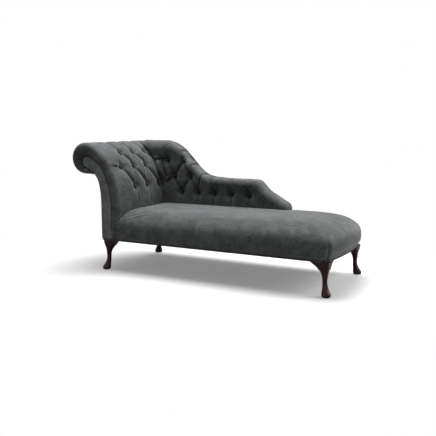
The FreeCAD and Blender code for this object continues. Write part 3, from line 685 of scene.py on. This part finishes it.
def fold_seat(obj):
    """Turns the seat's end in beside the facing, and folds the cover at its two foot corners."""
    at = coordinates(obj) - place([0.0, 0.0, 0.0])
    beside = np.clip((at[:, 0] - ARM_INNER_X) / SEAT_NIB_ROUND, 0, 1)
    turned = SEAT_NIB_ROUND * (1 - np.sqrt(1 - (1 - beside) ** 2))
    at[:, 1] += turned * np.clip((SEAT_NIB_DEPTH - at[:, 1]) / SEAT_NIB_DEPTH, 0, 1)
    full = np.clip((at[:, 0] - FOOT_END_X + SEAT_FOOT_RUN) / SEAT_FOOT_RUN, 0, 1.2) ** 2
    full *= np.clip((at[:, 2] - WELT_TOP) / 0.035, 0, 1)
    at[:, 0] += SEAT_FOOT_FULLNESS * full
    centre_x = FOOT_END_X - CORNER_RADIUS
    for centre_y, side in ((CORNER_RADIUS, -1.0), (BODY_DEPTH - CORNER_RADIUS, 1.0)):
        out_x, out_y = at[:, 0] - centre_x, (at[:, 1] - centre_y) * side
        radius = np.hypot(out_x, out_y)
        angle = np.degrees(np.arctan2(out_x, out_y))
        for turn, high, depth, width in SEAT_FOLDS:
            off = (angle - turn) * np.where(angle > turn, 1.0, 0.45)
            fade = np.clip(1 - (at[:, 2] - WELT_TOP) / high, 0, 1) ** 0.6
            fold = depth * np.exp(-(off / width) ** 2) * fade * (out_x > -0.03) * (out_y > -0.02)
            at[:, 0] -= fold * out_x / np.maximum(radius, 1e-6)
            at[:, 1] -= fold * side * out_y / np.maximum(radius, 1e-6)
    move_to(obj, place(at))


def make_seat(material):
    """Sprung seat pulled over the frame: crowned top, bullnose edges and folded corners."""
    middle = (ARM_INNER_X + 0.3, FOOT_END_X - 0.5, 0.28, 0.32, 0.01)
    rings = [plan_ring(*middle, PAD_FOOT)]
    inset = BOARD_SETBACK + CLEARANCE
    for z in (PAD_FOOT, WELT_TOP + CLEARANCE):
        rings.append(plan_ring(ARM_INNER_X, FOOT_END_X - inset, inset, BODY_DEPTH - inset,
                               CORNER_RADIUS - inset, z))
    for i in range(4):
        share = i / 4
        rings.append(seat_ring(SEAT_SWELL_HEIGHT * share, -SEAT_SWELL * math.sin(0.5 * math.pi * share)))
    crown = SEAT_HEIGHT - SEAT_SWELL_HEIGHT
    power = 2 / SEAT_ROLL_FULLNESS
    for i in range(25):
        angle = 0.5 * math.pi * i / 25
        rise, run = math.sin(angle) ** power, math.cos(angle) ** power
        rings.append(seat_ring(SEAT_SWELL_HEIGHT + crown * rise, SEAT_ROLL_DEPTH * (1 - run) - SEAT_SWELL))
    rings.append(plan_ring(*middle, WELT_TOP + SEAT_HEIGHT))
    net = np.stack(rings)
    net = np.concatenate([net, net[:, :1]], axis=1)
    obj = skin_grid("seat_cushion", net)
    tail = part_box("inside_back_cover")[1].x - ORIGIN_X
    pad_x = ARM_INNER_X + ARM_PADDING + CLEARANCE
    cut_away(obj, -0.1, ARM_NIB_END, 0.0, pad_x, 1.0, 1.0)
    cut_away(obj, -0.1, BACK_FRONT - CLEARANCE, 0.0, tail + CLEARANCE, 1.0, 1.0)
    remesh(obj, SEAT_FACE_SIZE, smooth=4)
    at = coordinates(obj) - place([0.0, 0.0, 0.0])
    under = (at[:, 2] < DECK + 0.012) & (coordinates(obj, "normal")[:, 2] < -0.3)
    foot = at[:, 2] < WELT_TOP + 0.012
    beside = (at[:, 0] < pad_x + 0.006) | ((at[:, 1] > BACK_FRONT - 0.008) & (at[:, 0] < tail + 0.006))
    swell(obj, under | foot | beside, SEAT_PRESSURE, SEAT_SWELL_LIMIT)
    change(obj, "SUBSURF", levels=1, render_levels=1)
    fold_seat(obj)
    return finish_piece(obj, material, ["seat_cover", "seat_foam"])


# Trimming

def sleeve(name, x, y, z, radius, sides=12, loop=False):
    """Round tube along a line of places, with its radius given at each."""
    line = np.column_stack([x, y, z])
    ahead = np.roll(line, -1, axis=0) - np.roll(line, 1, axis=0)
    if not loop:
        ahead[0], ahead[-1] = line[1] - line[0], line[-1] - line[-2]
    ahead /= np.linalg.norm(ahead, axis=1)[:, None]
    up = np.array([0, 0, 1.0]) if np.ptp(z) < 1e-6 else np.array([0, 1.0, 0])
    side = np.cross(ahead, up)
    side /= np.linalg.norm(side, axis=1)[:, None]
    turn = np.linspace(0, 2 * math.pi, sides + 1)
    ring = (side[:, None, :] * np.cos(turn)[None, :, None]
            + up[None, None, :] * np.sin(turn)[None, :, None])
    net = line[:, None, :] + ring * np.asarray(radius)[:, None, None]
    if loop:
        net = np.concatenate([net, net[:1]])
    return skin_grid(name, net)


def make_piping(material):
    """Gathered piping round the scroll facing, down to the welt on both sides."""
    parts, marks = inner_route(WELT_TOP + CLEARANCE, skin=-PIPING_RADIUS)
    run = np.arange(0, marks[-1], PIPING_STEP)
    x, z, _ = along(parts, run)
    outer, outer_ends = outer_route(WELT_TOP + CLEARANCE, skin=-PIPING_RADIUS)
    back = np.arange(outer_ends[-1], 0, -PIPING_STEP)
    ox, oz, _ = along(outer, back)
    gap = max(int(math.hypot(ox[0] - x[-1], oz[0] - z[-1]) / PIPING_STEP), 2)
    share = np.linspace(0, 1, gap + 1)[1:-1]
    x = np.concatenate([x, x[-1] + (ox[0] - x[-1]) * share, ox])
    z = np.concatenate([z, z[-1] + (oz[0] - z[-1]) * share, oz])
    length = np.concatenate([[0], np.cumsum(np.hypot(np.diff(x), np.diff(z)))])
    ripple = np.abs(np.sin(math.pi * length / PIPING_GATHER)) ** 0.6
    radius = PIPING_RADIUS * (0.50 + 0.64 * ripple)
    y = np.full_like(x, FACING_FRONT + 0.8 * PIPING_RADIUS)
    obj = sleeve("scroll_piping", x, y, z, radius)
    return finish_piece(obj, material, ["facing_piping"])


def make_welt(material):
    """Covered welt round the foot of the body."""
    inset = WELT_SETBACK + WELT_RADIUS
    middle = 0.5 * (FRAME_FLOOR + WELT_TOP)
    ring = plan_ring(HEAD_X + inset, FOOT_END_X - inset, inset, BODY_DEPTH - inset, CORNER_RADIUS - inset,
                     middle, counts=(420, 30, 160, 30, 420, 170))
    length = np.concatenate([[0], np.cumsum(np.linalg.norm(np.diff(ring, axis=0), axis=1))])
    ripple = np.abs(np.sin(math.pi * length / WELT_GATHER)) ** 0.7
    radius = WELT_RADIUS * (0.93 + 0.07 * ripple)
    obj = sleeve("bottom_border", ring[:, 0], ring[:, 1], ring[:, 2], radius, sides=14, loop=True)
    return finish_piece(obj, material, ["bottom_welt"])


def copy_node(node, name):
    """A piece of its own with a CAD node's shape, its loose faces joined."""
    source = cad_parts[node]
    obj = source.copy()
    obj.data = source.data.copy()
    obj.name = obj.data.name = name
    for key in list(obj.keys()):
        del obj[key]
    obj.parent = None
    bpy.context.scene.collection.objects.link(obj)
    pick(obj)
    bpy.ops.object.mode_set(mode="EDIT")
    bpy.ops.mesh.select_all(action="SELECT")
    bpy.ops.mesh.remove_doubles(threshold=1e-5)
    bpy.ops.mesh.dissolve_limited(angle_limit=math.radians(1.0))
    bpy.ops.object.mode_set(mode="OBJECT")
    return obj


def crown_face(obj, towards, steps):
    """Raises the faces that look one way in a few inset steps, as padding under cloth does."""
    pick(obj)
    for face in obj.data.polygons:
        face.select = face.normal.dot(Vector(towards)) > 0.99
    for edge in obj.data.edges:
        edge.select = False
    bpy.ops.object.mode_set(mode="EDIT")
    bpy.context.tool_settings.mesh_select_mode = (False, False, True)
    for inset, rise in steps:
        bpy.ops.mesh.inset(thickness=inset, depth=rise, use_even_offset=True)
    bpy.ops.object.mode_set(mode="OBJECT")


def make_facing(material):
    """Padded facing of the scroll's front end."""
    obj = copy_node("arm_front_facing", "scroll_facing")
    crown_face(obj, (0, -1, 0), [(0.002, 0.0008), (0.005, 0.0012), (0.010, 0.0006)])
    remesh(obj, 0.0022, smooth=6)
    return finish_piece(obj, material, ["arm_front_facing"])


def make_panel(node, name, material, towards, voxel):
    """Plain outside cover over its lining, with a soft edge."""
    obj = copy_node(node, name)
    crown_face(obj, towards, [(0.006, -0.0006), (0.020, 0.0)])
    remesh(obj, voxel, smooth=5)
    return finish_piece(obj, material, [node])


def make_outside_arm(material):
    """Cloth stretched from the roll's underside down to the welt, at the head end."""
    total = outer_marks[-2] + outer_fine[level] - outer_fine[0]
    low = WELT_TOP + CLEARANCE
    parts, _ = outer_route(low)
    s = np.linspace(0, total - (low - FRAME_FLOOR), 90)
    x, z, h = along(parts, s)
    y = np.linspace(FACING_FRONT + 0.001, REAR_LINE - CLEARANCE, 110)
    share_s = np.linspace(0, 1, len(s))[:, None]
    share_y = np.linspace(0, 1, len(y))[None, :]
    pull = 0.0009 * np.sin(9.0 * math.pi * share_y + 1.2) * (1 - share_s) ** 2
    pull += 0.0007 * np.sin(7.0 * math.pi * share_y) * share_s ** 3
    out = OUTSIDE_CLOTH + pull * np.sin(math.pi * share_y)
    net = np.stack([x[:, None] - np.sin(h)[:, None] * out, np.repeat(y[None, :], len(s), axis=0),
                    z[:, None] + np.cos(h)[:, None] * out], axis=2)
    obj = skin_sheet("outside_arm_cloth", net, thickness=0.0012)
    return finish_piece(obj, material, ["outside_arm_cover"])


def skin_sheet(name, net, thickness):
    """A thin sheet of cloth through a net of points, with its own thickness."""
    obj, _, _ = net_piece(name, net)
    change(obj, "SOLIDIFY", thickness=thickness, offset=0.0)
    bpy.ops.object.shade_smooth()
    return obj


def outer_part(low, high, at_low, reach, room=0.0):
    """The span of a leg's box, reach long, at its outer end, with some room beyond it."""
    return (low - room, low + reach) if at_low else (high - reach, high + room)


def make_dust_cloth(material):
    """Black cloth under the seat frame, sagging a little between the rails."""
    low, high = box_of("dust_cover")
    x = np.linspace(low[0], high[0] - 0.018, 171)
    y = np.linspace(low[1], high[1], 73)
    gx, gy = np.meshgrid(x, y)
    across = np.sin(math.pi * (gy - y[0]) / (y[-1] - y[0]))
    long_way = np.abs(np.sin(math.pi * DUST_BAYS * (gx - x[0]) / (x[-1] - x[0])))
    sag = DUST_SAG * across ** 1.5 * long_way ** 1.2
    level_z = np.full_like(gx, FRAME_FLOOR - 0.0006) - sag
    obj = skin_sheet("dust_cloth", np.stack([gx, gy, level_z], axis=2), thickness=0.0006)
    for leg in ("leg_front_head", "leg_front_foot", "leg_rear_head", "leg_rear_foot"):
        low, high = box_of(leg)
        head, front = "head" in leg, "front" in leg
        x0, x1 = outer_part(low[0], high[0], head, LEG_BLOCK)
        y0, y1 = outer_part(low[1], high[1], front, LEG_BLOCK)
        cut_away(obj, x0 - LEG_ROOM, y0 - LEG_ROOM, 0.15, x1 + 0.004, y1 + 0.004, 0.20)
        y0, y1 = outer_part(low[1], high[1], front, LEG_WING, LEG_ROOM)
        cut_away(obj, low[0] - 0.003, y0, 0.15, high[0] + 0.003, y1, 0.20)
        x0, x1 = outer_part(low[0], high[0], head, LEG_WING, LEG_ROOM)
        cut_away(obj, x0, low[1] - 0.003, 0.15, x1, high[1] + 0.003, 0.20)
    return finish_piece(obj, material, ["dust_cover"])


def make_button():
    """One covered button: a low dome with a drawn-in edge and a turned-under back."""
    bpy.ops.object.select_all(action="DESELECT")
    bpy.ops.mesh.primitive_uv_sphere_add(segments=24, ring_count=14, radius=BUTTON_RADIUS)
    obj = bpy.context.object
    at = coordinates(obj)
    radius = np.hypot(at[:, 0], at[:, 1])
    angle = np.arctan2(at[:, 1], at[:, 0])
    at[:, 2] *= 0.55
    at[:, 2] = np.maximum(at[:, 2], -0.002)
    edge = np.clip(radius / BUTTON_RADIUS, 0, 1) ** 6
    at[:, :2] *= (1 - 0.02 * edge * (1 + np.cos(12 * angle)))[:, None]
    at[:, 2] += 0.002
    move_to(obj, at)
    bpy.ops.object.shade_smooth()
    return obj


def place_buttons(name, spots, material, node):
    """Copies of one button, each turned to its place, joined into one piece."""
    made = []
    model = make_button()
    for spot, normal in spots:
        piece = model.copy()
        piece.data = model.data.copy()
        bpy.context.scene.collection.objects.link(piece)
        piece.location = place(spot)
        piece.rotation_mode = "QUATERNION"
        piece.rotation_quaternion = Vector(normal).to_track_quat("Z", "Y")
        made.append(piece)
    bpy.data.objects.remove(model)
    obj = joined(made, name)
    settle(obj)
    return finish_piece(obj, material, [node])


def arm_button_spots():
    """Each button's place on the inside arm and the way that it faces."""
    spots = []
    for row in button_spots(ARM_ROWS, ARM_PITCH):
        for run, y in row:
            x, z, h = (float(value[0]) for value in along(pad_parts, [run - RUN_AT_FOOT]))
            nx, nz = math.sin(h), -math.cos(h)
            spots.append(((x - nx * BUTTON_SEAT, y, z - nz * BUTTON_SEAT), (nx, 0, nz)))
    return spots


def back_button_spots():
    return [((x, BACK_FRONT + BUTTON_SEAT, z), (0, -1, 0))
            for row in button_spots(BACK_ROWS, BACK_PITCH) for z, x in row]


def make_webbing(material):
    """Straps from rail to rail, all cut from one roll, a little slack in the middle."""
    low, high = box_of("seat_webbing")
    across = np.linspace(low[1], high[1], 61)
    sag = 0.0004 * np.sin(math.pi * (across - low[1]) / (high[1] - low[1]))
    straps = []
    for i in range(STRAP_COUNT):
        start = low[0] + (high[0] - STRAP_WIDTH - low[0]) * i / (STRAP_COUNT - 1)
        gx, gy = np.meshgrid(np.linspace(start, start + STRAP_WIDTH, 9), across)
        level_z = np.repeat((0.5 * (low[2] + high[2]) - sag)[:, None], 9, axis=1)
        straps.append(skin_sheet("seat_straps", np.stack([gx, gy, level_z], axis=2), thickness=0.0014))
    obj = joined(straps, "seat_straps")
    return finish_piece(obj, material, ["seat_webbing"])


# Surface effects, shared by the materials

def effect(name, **values):
    """An empty node group: a vector and named values in, a shade and a height out."""
    tree = bpy.data.node_groups.new(name, "ShaderNodeTree")
    tree.interface.new_socket(name="Vector", in_out="INPUT", socket_type="NodeSocketVector")
    for label, value in values.items():
        socket = tree.interface.new_socket(name=label, in_out="INPUT", socket_type="NodeSocketFloat")
        socket.default_value = value
    for label in ("Shade", "Height"):
        tree.interface.new_socket(name=label, in_out="OUTPUT", socket_type="NodeSocketFloat")
    return tree, tree.nodes.new("NodeGroupInput").outputs


def give(tree, shade, height):
    """Sends an effect's shade and height out of its node group."""
    last = tree.nodes.new("NodeGroupOutput")
    tree.links.new(shade, last.inputs["Shade"])
    tree.links.new(height, last.inputs["Height"])
    return tree


def math_node(tree, kind, a, b=0.0, clamp=False):
    """One sum on two values, each a number or another node's output."""
    node = tree.nodes.new("ShaderNodeMath")
    node.operation = kind
    node.use_clamp = clamp
    for socket, value in zip(node.inputs, (a, b)):
        if isinstance(value, (int, float)):
            socket.default_value = value
        else:
            tree.links.new(value, socket)
    return node.outputs[0]


def blend(tree, part_a, a, part_b, b):
    """Two values added by their parts and held between 0 and 1."""
    return math_node(tree, "ADD", math_node(tree, "MULTIPLY", a, part_a),
                     math_node(tree, "MULTIPLY", b, part_b), clamp=True)


def mixed(tree, factor, a, b):
    """A colour mixed from two, each given as a colour or as another node's output."""
    node = tree.nodes.new("ShaderNodeMix")
    node.data_type = "RGBA"
    tree.links.new(factor, node.inputs["Factor"])
    for label, value in (("A", a), ("B", b)):
        if isinstance(value, tuple):
            node.inputs[label].default_value = (*value, 1.0)
        else:
            tree.links.new(value, node.inputs[label])
    return node.outputs["Result"]


def scaled(tree, vector, sizes):
    node = tree.nodes.new("ShaderNodeMapping")
    node.inputs["Scale"].default_value = sizes
    tree.links.new(vector, node.inputs["Vector"])
    return node.outputs["Vector"]


def noise(tree, vector, scale, detail=2.0, rough=0.5, distortion=0.0):
    node = tree.nodes.new("ShaderNodeTexNoise")
    node.inputs["Detail"].default_value = detail
    node.inputs["Roughness"].default_value = rough
    node.inputs["Distortion"].default_value = distortion
    tree.links.new(vector, node.inputs["Vector"])
    if isinstance(scale, (int, float)):
        node.inputs["Scale"].default_value = scale
    else:
        tree.links.new(scale, node.inputs["Scale"])
    return node.outputs["Fac"]


def spread(tree, value, low, high):
    """Stretches the part of a value between low and high to 0..1."""
    node = tree.nodes.new("ShaderNodeMapRange")
    node.interpolation_type = "SMOOTHSTEP"
    node.inputs["From Min"].default_value = low
    node.inputs["From Max"].default_value = high
    tree.links.new(value, node.inputs["Value"])
    return node.outputs["Result"]


def nap_effect():
    """Pressed and brushed patches of a short pile, with its fine streaks and hairs."""
    tree, given = effect("pressed_pile", Patches=15.0, Streaks=105.0, Hairs=900.0)
    vector = given["Vector"]
    patches = spread(tree, noise(tree, vector, given["Patches"], 3.0, 0.55, 0.6), 0.36, 0.66)
    streaks = spread(tree, noise(tree, scaled(tree, vector, (1.0, 1.0, 0.45)), given["Streaks"],
                                 4.0, 0.62, 0.4), 0.34, 0.68)
    fine = noise(tree, vector, given["Hairs"], 2.0, 0.6)
    shade = math_node(tree, "MULTIPLY", patches, 0.44)
    shade = math_node(tree, "ADD", shade, math_node(tree, "MULTIPLY", streaks, 0.40))
    shade = math_node(tree, "ADD", shade, math_node(tree, "MULTIPLY", fine, 0.16), clamp=True)
    return give(tree, shade, math_node(tree, "ADD", math_node(tree, "MULTIPLY", streaks, 0.7), fine))


def grain_effect():
    """Long grain of wood along one axis, with its figure and pores."""
    tree, given = effect("wood_grain", Figure=14.0, Pores=220.0)
    wander = noise(tree, given["Vector"], given["Figure"], 3.0, 0.5, 1.2)
    figure = spread(tree, math_node(tree, "SINE", math_node(tree, "MULTIPLY", wander, 38.0)), -1.0, 1.0)
    pores = spread(tree, noise(tree, given["Vector"], given["Pores"], 3.0, 0.7), 0.42, 0.60)
    return give(tree, blend(tree, 0.6, figure, 0.4, pores), pores)


def weave_effect():
    """Crossing threads over and under each other."""
    tree, given = effect("crossed_threads", Threads=900.0)
    split = tree.nodes.new("ShaderNodeSeparateXYZ")
    tree.links.new(given["Vector"], split.inputs["Vector"])
    waves = [math_node(tree, "SINE", math_node(tree, "MULTIPLY", split.outputs[axis], given["Threads"]))
             for axis in ("X", "Y")]
    height = spread(tree, math_node(tree, "MULTIPLY", *waves), -1.0, 1.0)
    uneven = noise(tree, given["Vector"], 70.0, 3.0, 0.6)
    return give(tree, blend(tree, 0.6, height, 0.5, uneven), height)


def cells_effect():
    """Small open cells or flecks."""
    tree, given = effect("open_cells", Cells=500.0)
    cell = tree.nodes.new("ShaderNodeTexVoronoi")
    tree.links.new(given["Vector"], cell.inputs["Vector"])
    tree.links.new(given["Cells"], cell.inputs["Scale"])
    cloud = noise(tree, given["Vector"], 25.0, 4.0, 0.6)
    pits = spread(tree, cell.outputs["Distance"], 0.05, 0.55)
    return give(tree, blend(tree, 0.5, pits, 0.5, cloud), pits)


def make_material(name, group, values, dark, light, rough=(0.8, 0.9), relief=0.0002, strength=0.5,
                  stretch=(1.0, 1.0, 1.0), **sockets):
    """A finish whose colour, roughness and relief follow one of the effects above."""
    made = bpy.data.materials.new(name)
    made.use_nodes = True
    tree = made.node_tree
    shader = tree.nodes["Principled BSDF"]
    where = tree.nodes.new("ShaderNodeTexCoord")
    cover = tree.nodes.new("ShaderNodeGroup")
    cover.node_tree = group
    tree.links.new(scaled(tree, where.outputs["Object"], stretch), cover.inputs["Vector"])
    for label, value in values.items():
        cover.inputs[label].default_value = value
    # Painted shade: a per-point attribute darkens the colour in the tufts, pleats and gathers
    shade_mask = tree.nodes.new("ShaderNodeAttribute")
    shade_mask.attribute_name = "crease_shade"
    colour = mixed(tree, cover.outputs["Shade"], dark, light)
    colour = mixed(tree, math_node(tree, "MULTIPLY", shade_mask.outputs["Fac"], PAINTED_SHADE_STRENGTH), colour,
                   tuple(PAINTED_SHADE_COLOUR * part for part in dark))
    tree.links.new(colour, shader.inputs["Base Color"])
    even = tree.nodes.new("ShaderNodeMapRange")
    even.inputs["To Min"].default_value, even.inputs["To Max"].default_value = rough
    tree.links.new(cover.outputs["Shade"], even.inputs["Value"])
    tree.links.new(even.outputs["Result"], shader.inputs["Roughness"])
    bump = tree.nodes.new("ShaderNodeBump")
    bump.inputs["Strength"].default_value = strength
    bump.inputs["Distance"].default_value = relief
    tree.links.new(cover.outputs["Height"], bump.inputs["Height"])
    tree.links.new(bump.outputs["Normal"], shader.inputs["Normal"])
    for label, value in sockets.items():
        shader.inputs[label.replace("_", " ")].default_value = value
    return made


def make_velvet(name, dark, light, sheen, fine=False):
    """Velvet in one tone. The narrow pieces have it with finer patches and streaks."""
    values = {"Patches": 60.0, "Streaks": 240.0} if fine else {}
    return make_material(name, pile, values, dark, light, rough=(0.75, 0.90),
                         relief=0.0003 if fine else 0.0006, Sheen_Weight=sheen,
                         Sheen_Roughness=0.4 if fine else 0.35, Specular_IOR_Level=0.12)


pile, grain = nap_effect(), grain_effect()
threads, cells = weave_effect(), cells_effect()
velvet = make_velvet("grey_velvet", (0.040, 0.042, 0.043), (0.120, 0.125, 0.127), sheen=0.35)
# Painted shade: a darker copy of the velvet for the piping and the welt, standing for their own shading;
# its patches and streaks are finer
velvet_shaded_trim = make_velvet("grey_velvet_trim_painted_shade", (0.032, 0.033, 0.034), (0.095, 0.098, 0.100), sheen=0.3,
                          fine=True)
# Painted light: a lighter copy of the velvet for the scroll's facing, standing for the light that falls on
# it
velvet_lit_facing = make_velvet("grey_velvet_painted_light_facing", (0.088, 0.091, 0.094), (0.215, 0.221, 0.227),
                            sheen=0.45)
# Painted shade: a much darker copy of the velvet for the buttons, standing for the shade in the tuft
# hollows
velvet_shaded_button = make_velvet("grey_velvet_painted_shade_button", (0.012, 0.0125, 0.013), (0.036, 0.037, 0.038),
                            sheen=0.15, fine=True)
mahogany = make_material("dark_mahogany", grain, {}, (0.012, 0.0012, 0.0011), (0.034, 0.0042, 0.0032),
                         rough=(0.34, 0.46), relief=0.0001, strength=0.25, stretch=(1.0, 1.0, 0.18),
                         Coat_Weight=0.10, Coat_Roughness=0.10, Specular_IOR_Level=0.18)
beech = make_material("sawn_beech", grain, {"Figure": 9.0}, (0.42, 0.25, 0.12), (0.56, 0.37, 0.20),
                      rough=(0.60, 0.75), relief=0.0002, stretch=(0.15, 1.0, 1.0))
plywood = make_material("sanded_plywood", grain, {"Figure": 6.0}, (0.45, 0.29, 0.15), (0.60, 0.42, 0.24),
                        rough=(0.55, 0.70), relief=0.0001, stretch=(0.2, 1.0, 1.0))
lining_board = make_material("pressed_board", cells, {"Cells": 260.0}, (0.20, 0.13, 0.07),
                             (0.30, 0.21, 0.12), rough=(0.75, 0.90), relief=0.0002)
webbing = make_material("strap_webbing", threads, {"Threads": 2200.0}, (0.020, 0.018, 0.015),
                        (0.060, 0.055, 0.045), rough=(0.80, 0.95), relief=0.0004)
lining_cloth = make_material("black_lining", threads, {"Threads": 3000.0}, (0.004, 0.004, 0.004),
                             (0.012, 0.012, 0.012), rough=(0.85, 0.98), relief=0.0001)
steel = make_material("zinc_steel", cells, {"Cells": 900.0}, (0.45, 0.45, 0.46), (0.62, 0.62, 0.63),
                      rough=(0.28, 0.45), relief=0.00005, Metallic=1.0)
glide_plastic = make_material("glide_plastic", cells, {"Cells": 1200.0}, (0.004, 0.004, 0.004),
                              (0.012, 0.012, 0.012), rough=(0.45, 0.60), relief=0.00005)

CAD_FINISHES = {
    "leg_front_head": mahogany, "leg_front_foot": mahogany, "leg_rear_head": mahogany,
    "leg_rear_foot": mahogany, "leg_bolts": steel, "leg_nuts": steel, "leg_glides": glide_plastic,
    "arm_lining": lining_board, "back_board": plywood, "arm_front_board": plywood,
    "arm_rear_board": plywood,
}
for name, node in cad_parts.items():
    node.data.materials.clear()
    node.data.materials.append(CAD_FINISHES.get(name, beech))

make_arm_pad(velvet)
make_back_pad(velvet)
make_seat(velvet)
place_buttons("arm_button_set", arm_button_spots(), velvet_shaded_button, "arm_buttons")
place_buttons("back_button_set", back_button_spots(), velvet_shaded_button, "back_buttons")
make_facing(velvet_lit_facing)
make_piping(velvet_shaded_trim)
make_welt(velvet_shaded_trim)
make_panel("outside_back_cover", "outside_back_panel", velvet, (0, 1, 0), 0.006)
make_panel("arm_rear_facing", "rear_scroll_panel", velvet, (0, 1, 0), 0.005)
make_outside_arm(velvet)
make_dust_cloth(lining_cloth)
make_webbing(webbing)


# Floor, light and camera

def make_floor():
    bpy.ops.object.select_all(action="DESELECT")
    bpy.ops.mesh.primitive_plane_add(size=24.0, location=(0.0, 0.0, 0.0))
    floor = bpy.context.object
    floor.name = "studio_floor"
    paint = bpy.data.materials.new("white_floor")
    paint.use_nodes = True
    tree = paint.node_tree
    shader = tree.nodes["Principled BSDF"]
    shader.inputs["Roughness"].default_value = 0.9
    shader.inputs["Specular IOR Level"].default_value = 0.0
    glow = tree.nodes.new("ShaderNodeEmission")
    where = tree.nodes.new("ShaderNodeTexCoord")
    far = tree.nodes.new("ShaderNodeVectorMath")
    far.operation = "LENGTH"
    tree.links.new(scaled(tree, where.outputs["Object"], (1.0, 1.3, 1.0)), far.inputs[0])
    away = spread(tree, far.outputs["Value"], 0.9, 1.9)
    ray = tree.nodes.new("ShaderNodeLightPath")
    paint_mix = mixed(tree, ray.outputs["Is Camera Ray"], (0.42, 0.42, 0.42), (0.90, 0.90, 0.90))
    tree.links.new(paint_mix, shader.inputs["Base Color"])
    lifted = math_node(tree, "ADD", math_node(tree, "MULTIPLY", away, 0.78), 0.22)
    seen = math_node(tree, "MULTIPLY", lifted, ray.outputs["Is Camera Ray"])
    mix = tree.nodes.new("ShaderNodeMixShader")
    tree.links.new(seen, mix.inputs["Fac"])
    tree.links.new(shader.outputs["BSDF"], mix.inputs[1])
    tree.links.new(glow.outputs["Emission"], mix.inputs[2])
    tree.links.new(mix.outputs["Shader"], tree.nodes["Material Output"].inputs["Surface"])
    floor.data.materials.append(paint)


def make_world(ambient):
    world = bpy.data.worlds.new("studio")
    bpy.context.scene.world = world
    world.use_nodes = True
    tree = world.node_tree
    shown = tree.nodes["Background"]
    ray = tree.nodes.new("ShaderNodeLightPath")
    seen = math_node(tree, "MAXIMUM", ray.outputs["Is Camera Ray"], ray.outputs["Is Glossy Ray"])
    seen = math_node(tree, "MAXIMUM", seen, ray.outputs["Is Transmission Ray"])
    strength = tree.nodes.new("ShaderNodeMapRange")
    strength.inputs["To Min"].default_value = ambient
    tree.links.new(seen, strength.inputs["Value"])
    tree.links.new(strength.outputs["Result"], shown.inputs["Strength"])
    shown.inputs["Color"].default_value = (1.0, 1.0, 1.0, 1.0)


def add_lamp(name, spot, aim, size, power):
    bpy.ops.object.light_add(type="AREA", location=spot)
    lamp = bpy.context.object
    lamp.name = name
    lamp.data.shape = "RECTANGLE"
    lamp.data.size, lamp.data.size_y = size
    lamp.data.energy = power
    lamp.rotation_euler = (Vector(aim) - Vector(spot)).to_track_quat("-Z", "Y").to_euler()
    return lamp


make_floor()
make_world(0.16)
add_lamp("overhead", (-0.45, 0.55, 3.2), (0.1, 0.05, 0.3), (3.0, 2.0), 185.0)
add_lamp("foot_side", (1.8, 0.4, 1.0), (0.8, 0.0, 0.30), (0.8, 0.8), 13.0)

bpy.ops.object.camera_add(location=(1.7451, -3.28032, 0.86945),
                          rotation=(math.radians(81.47), 0.0, math.radians(27.754)))
camera = bpy.context.object
camera.data.lens = 52.48
camera.data.sensor_width = 36.0
bpy.context.scene.camera = camera
bpy.context.scene.view_settings.view_transform = "Standard"
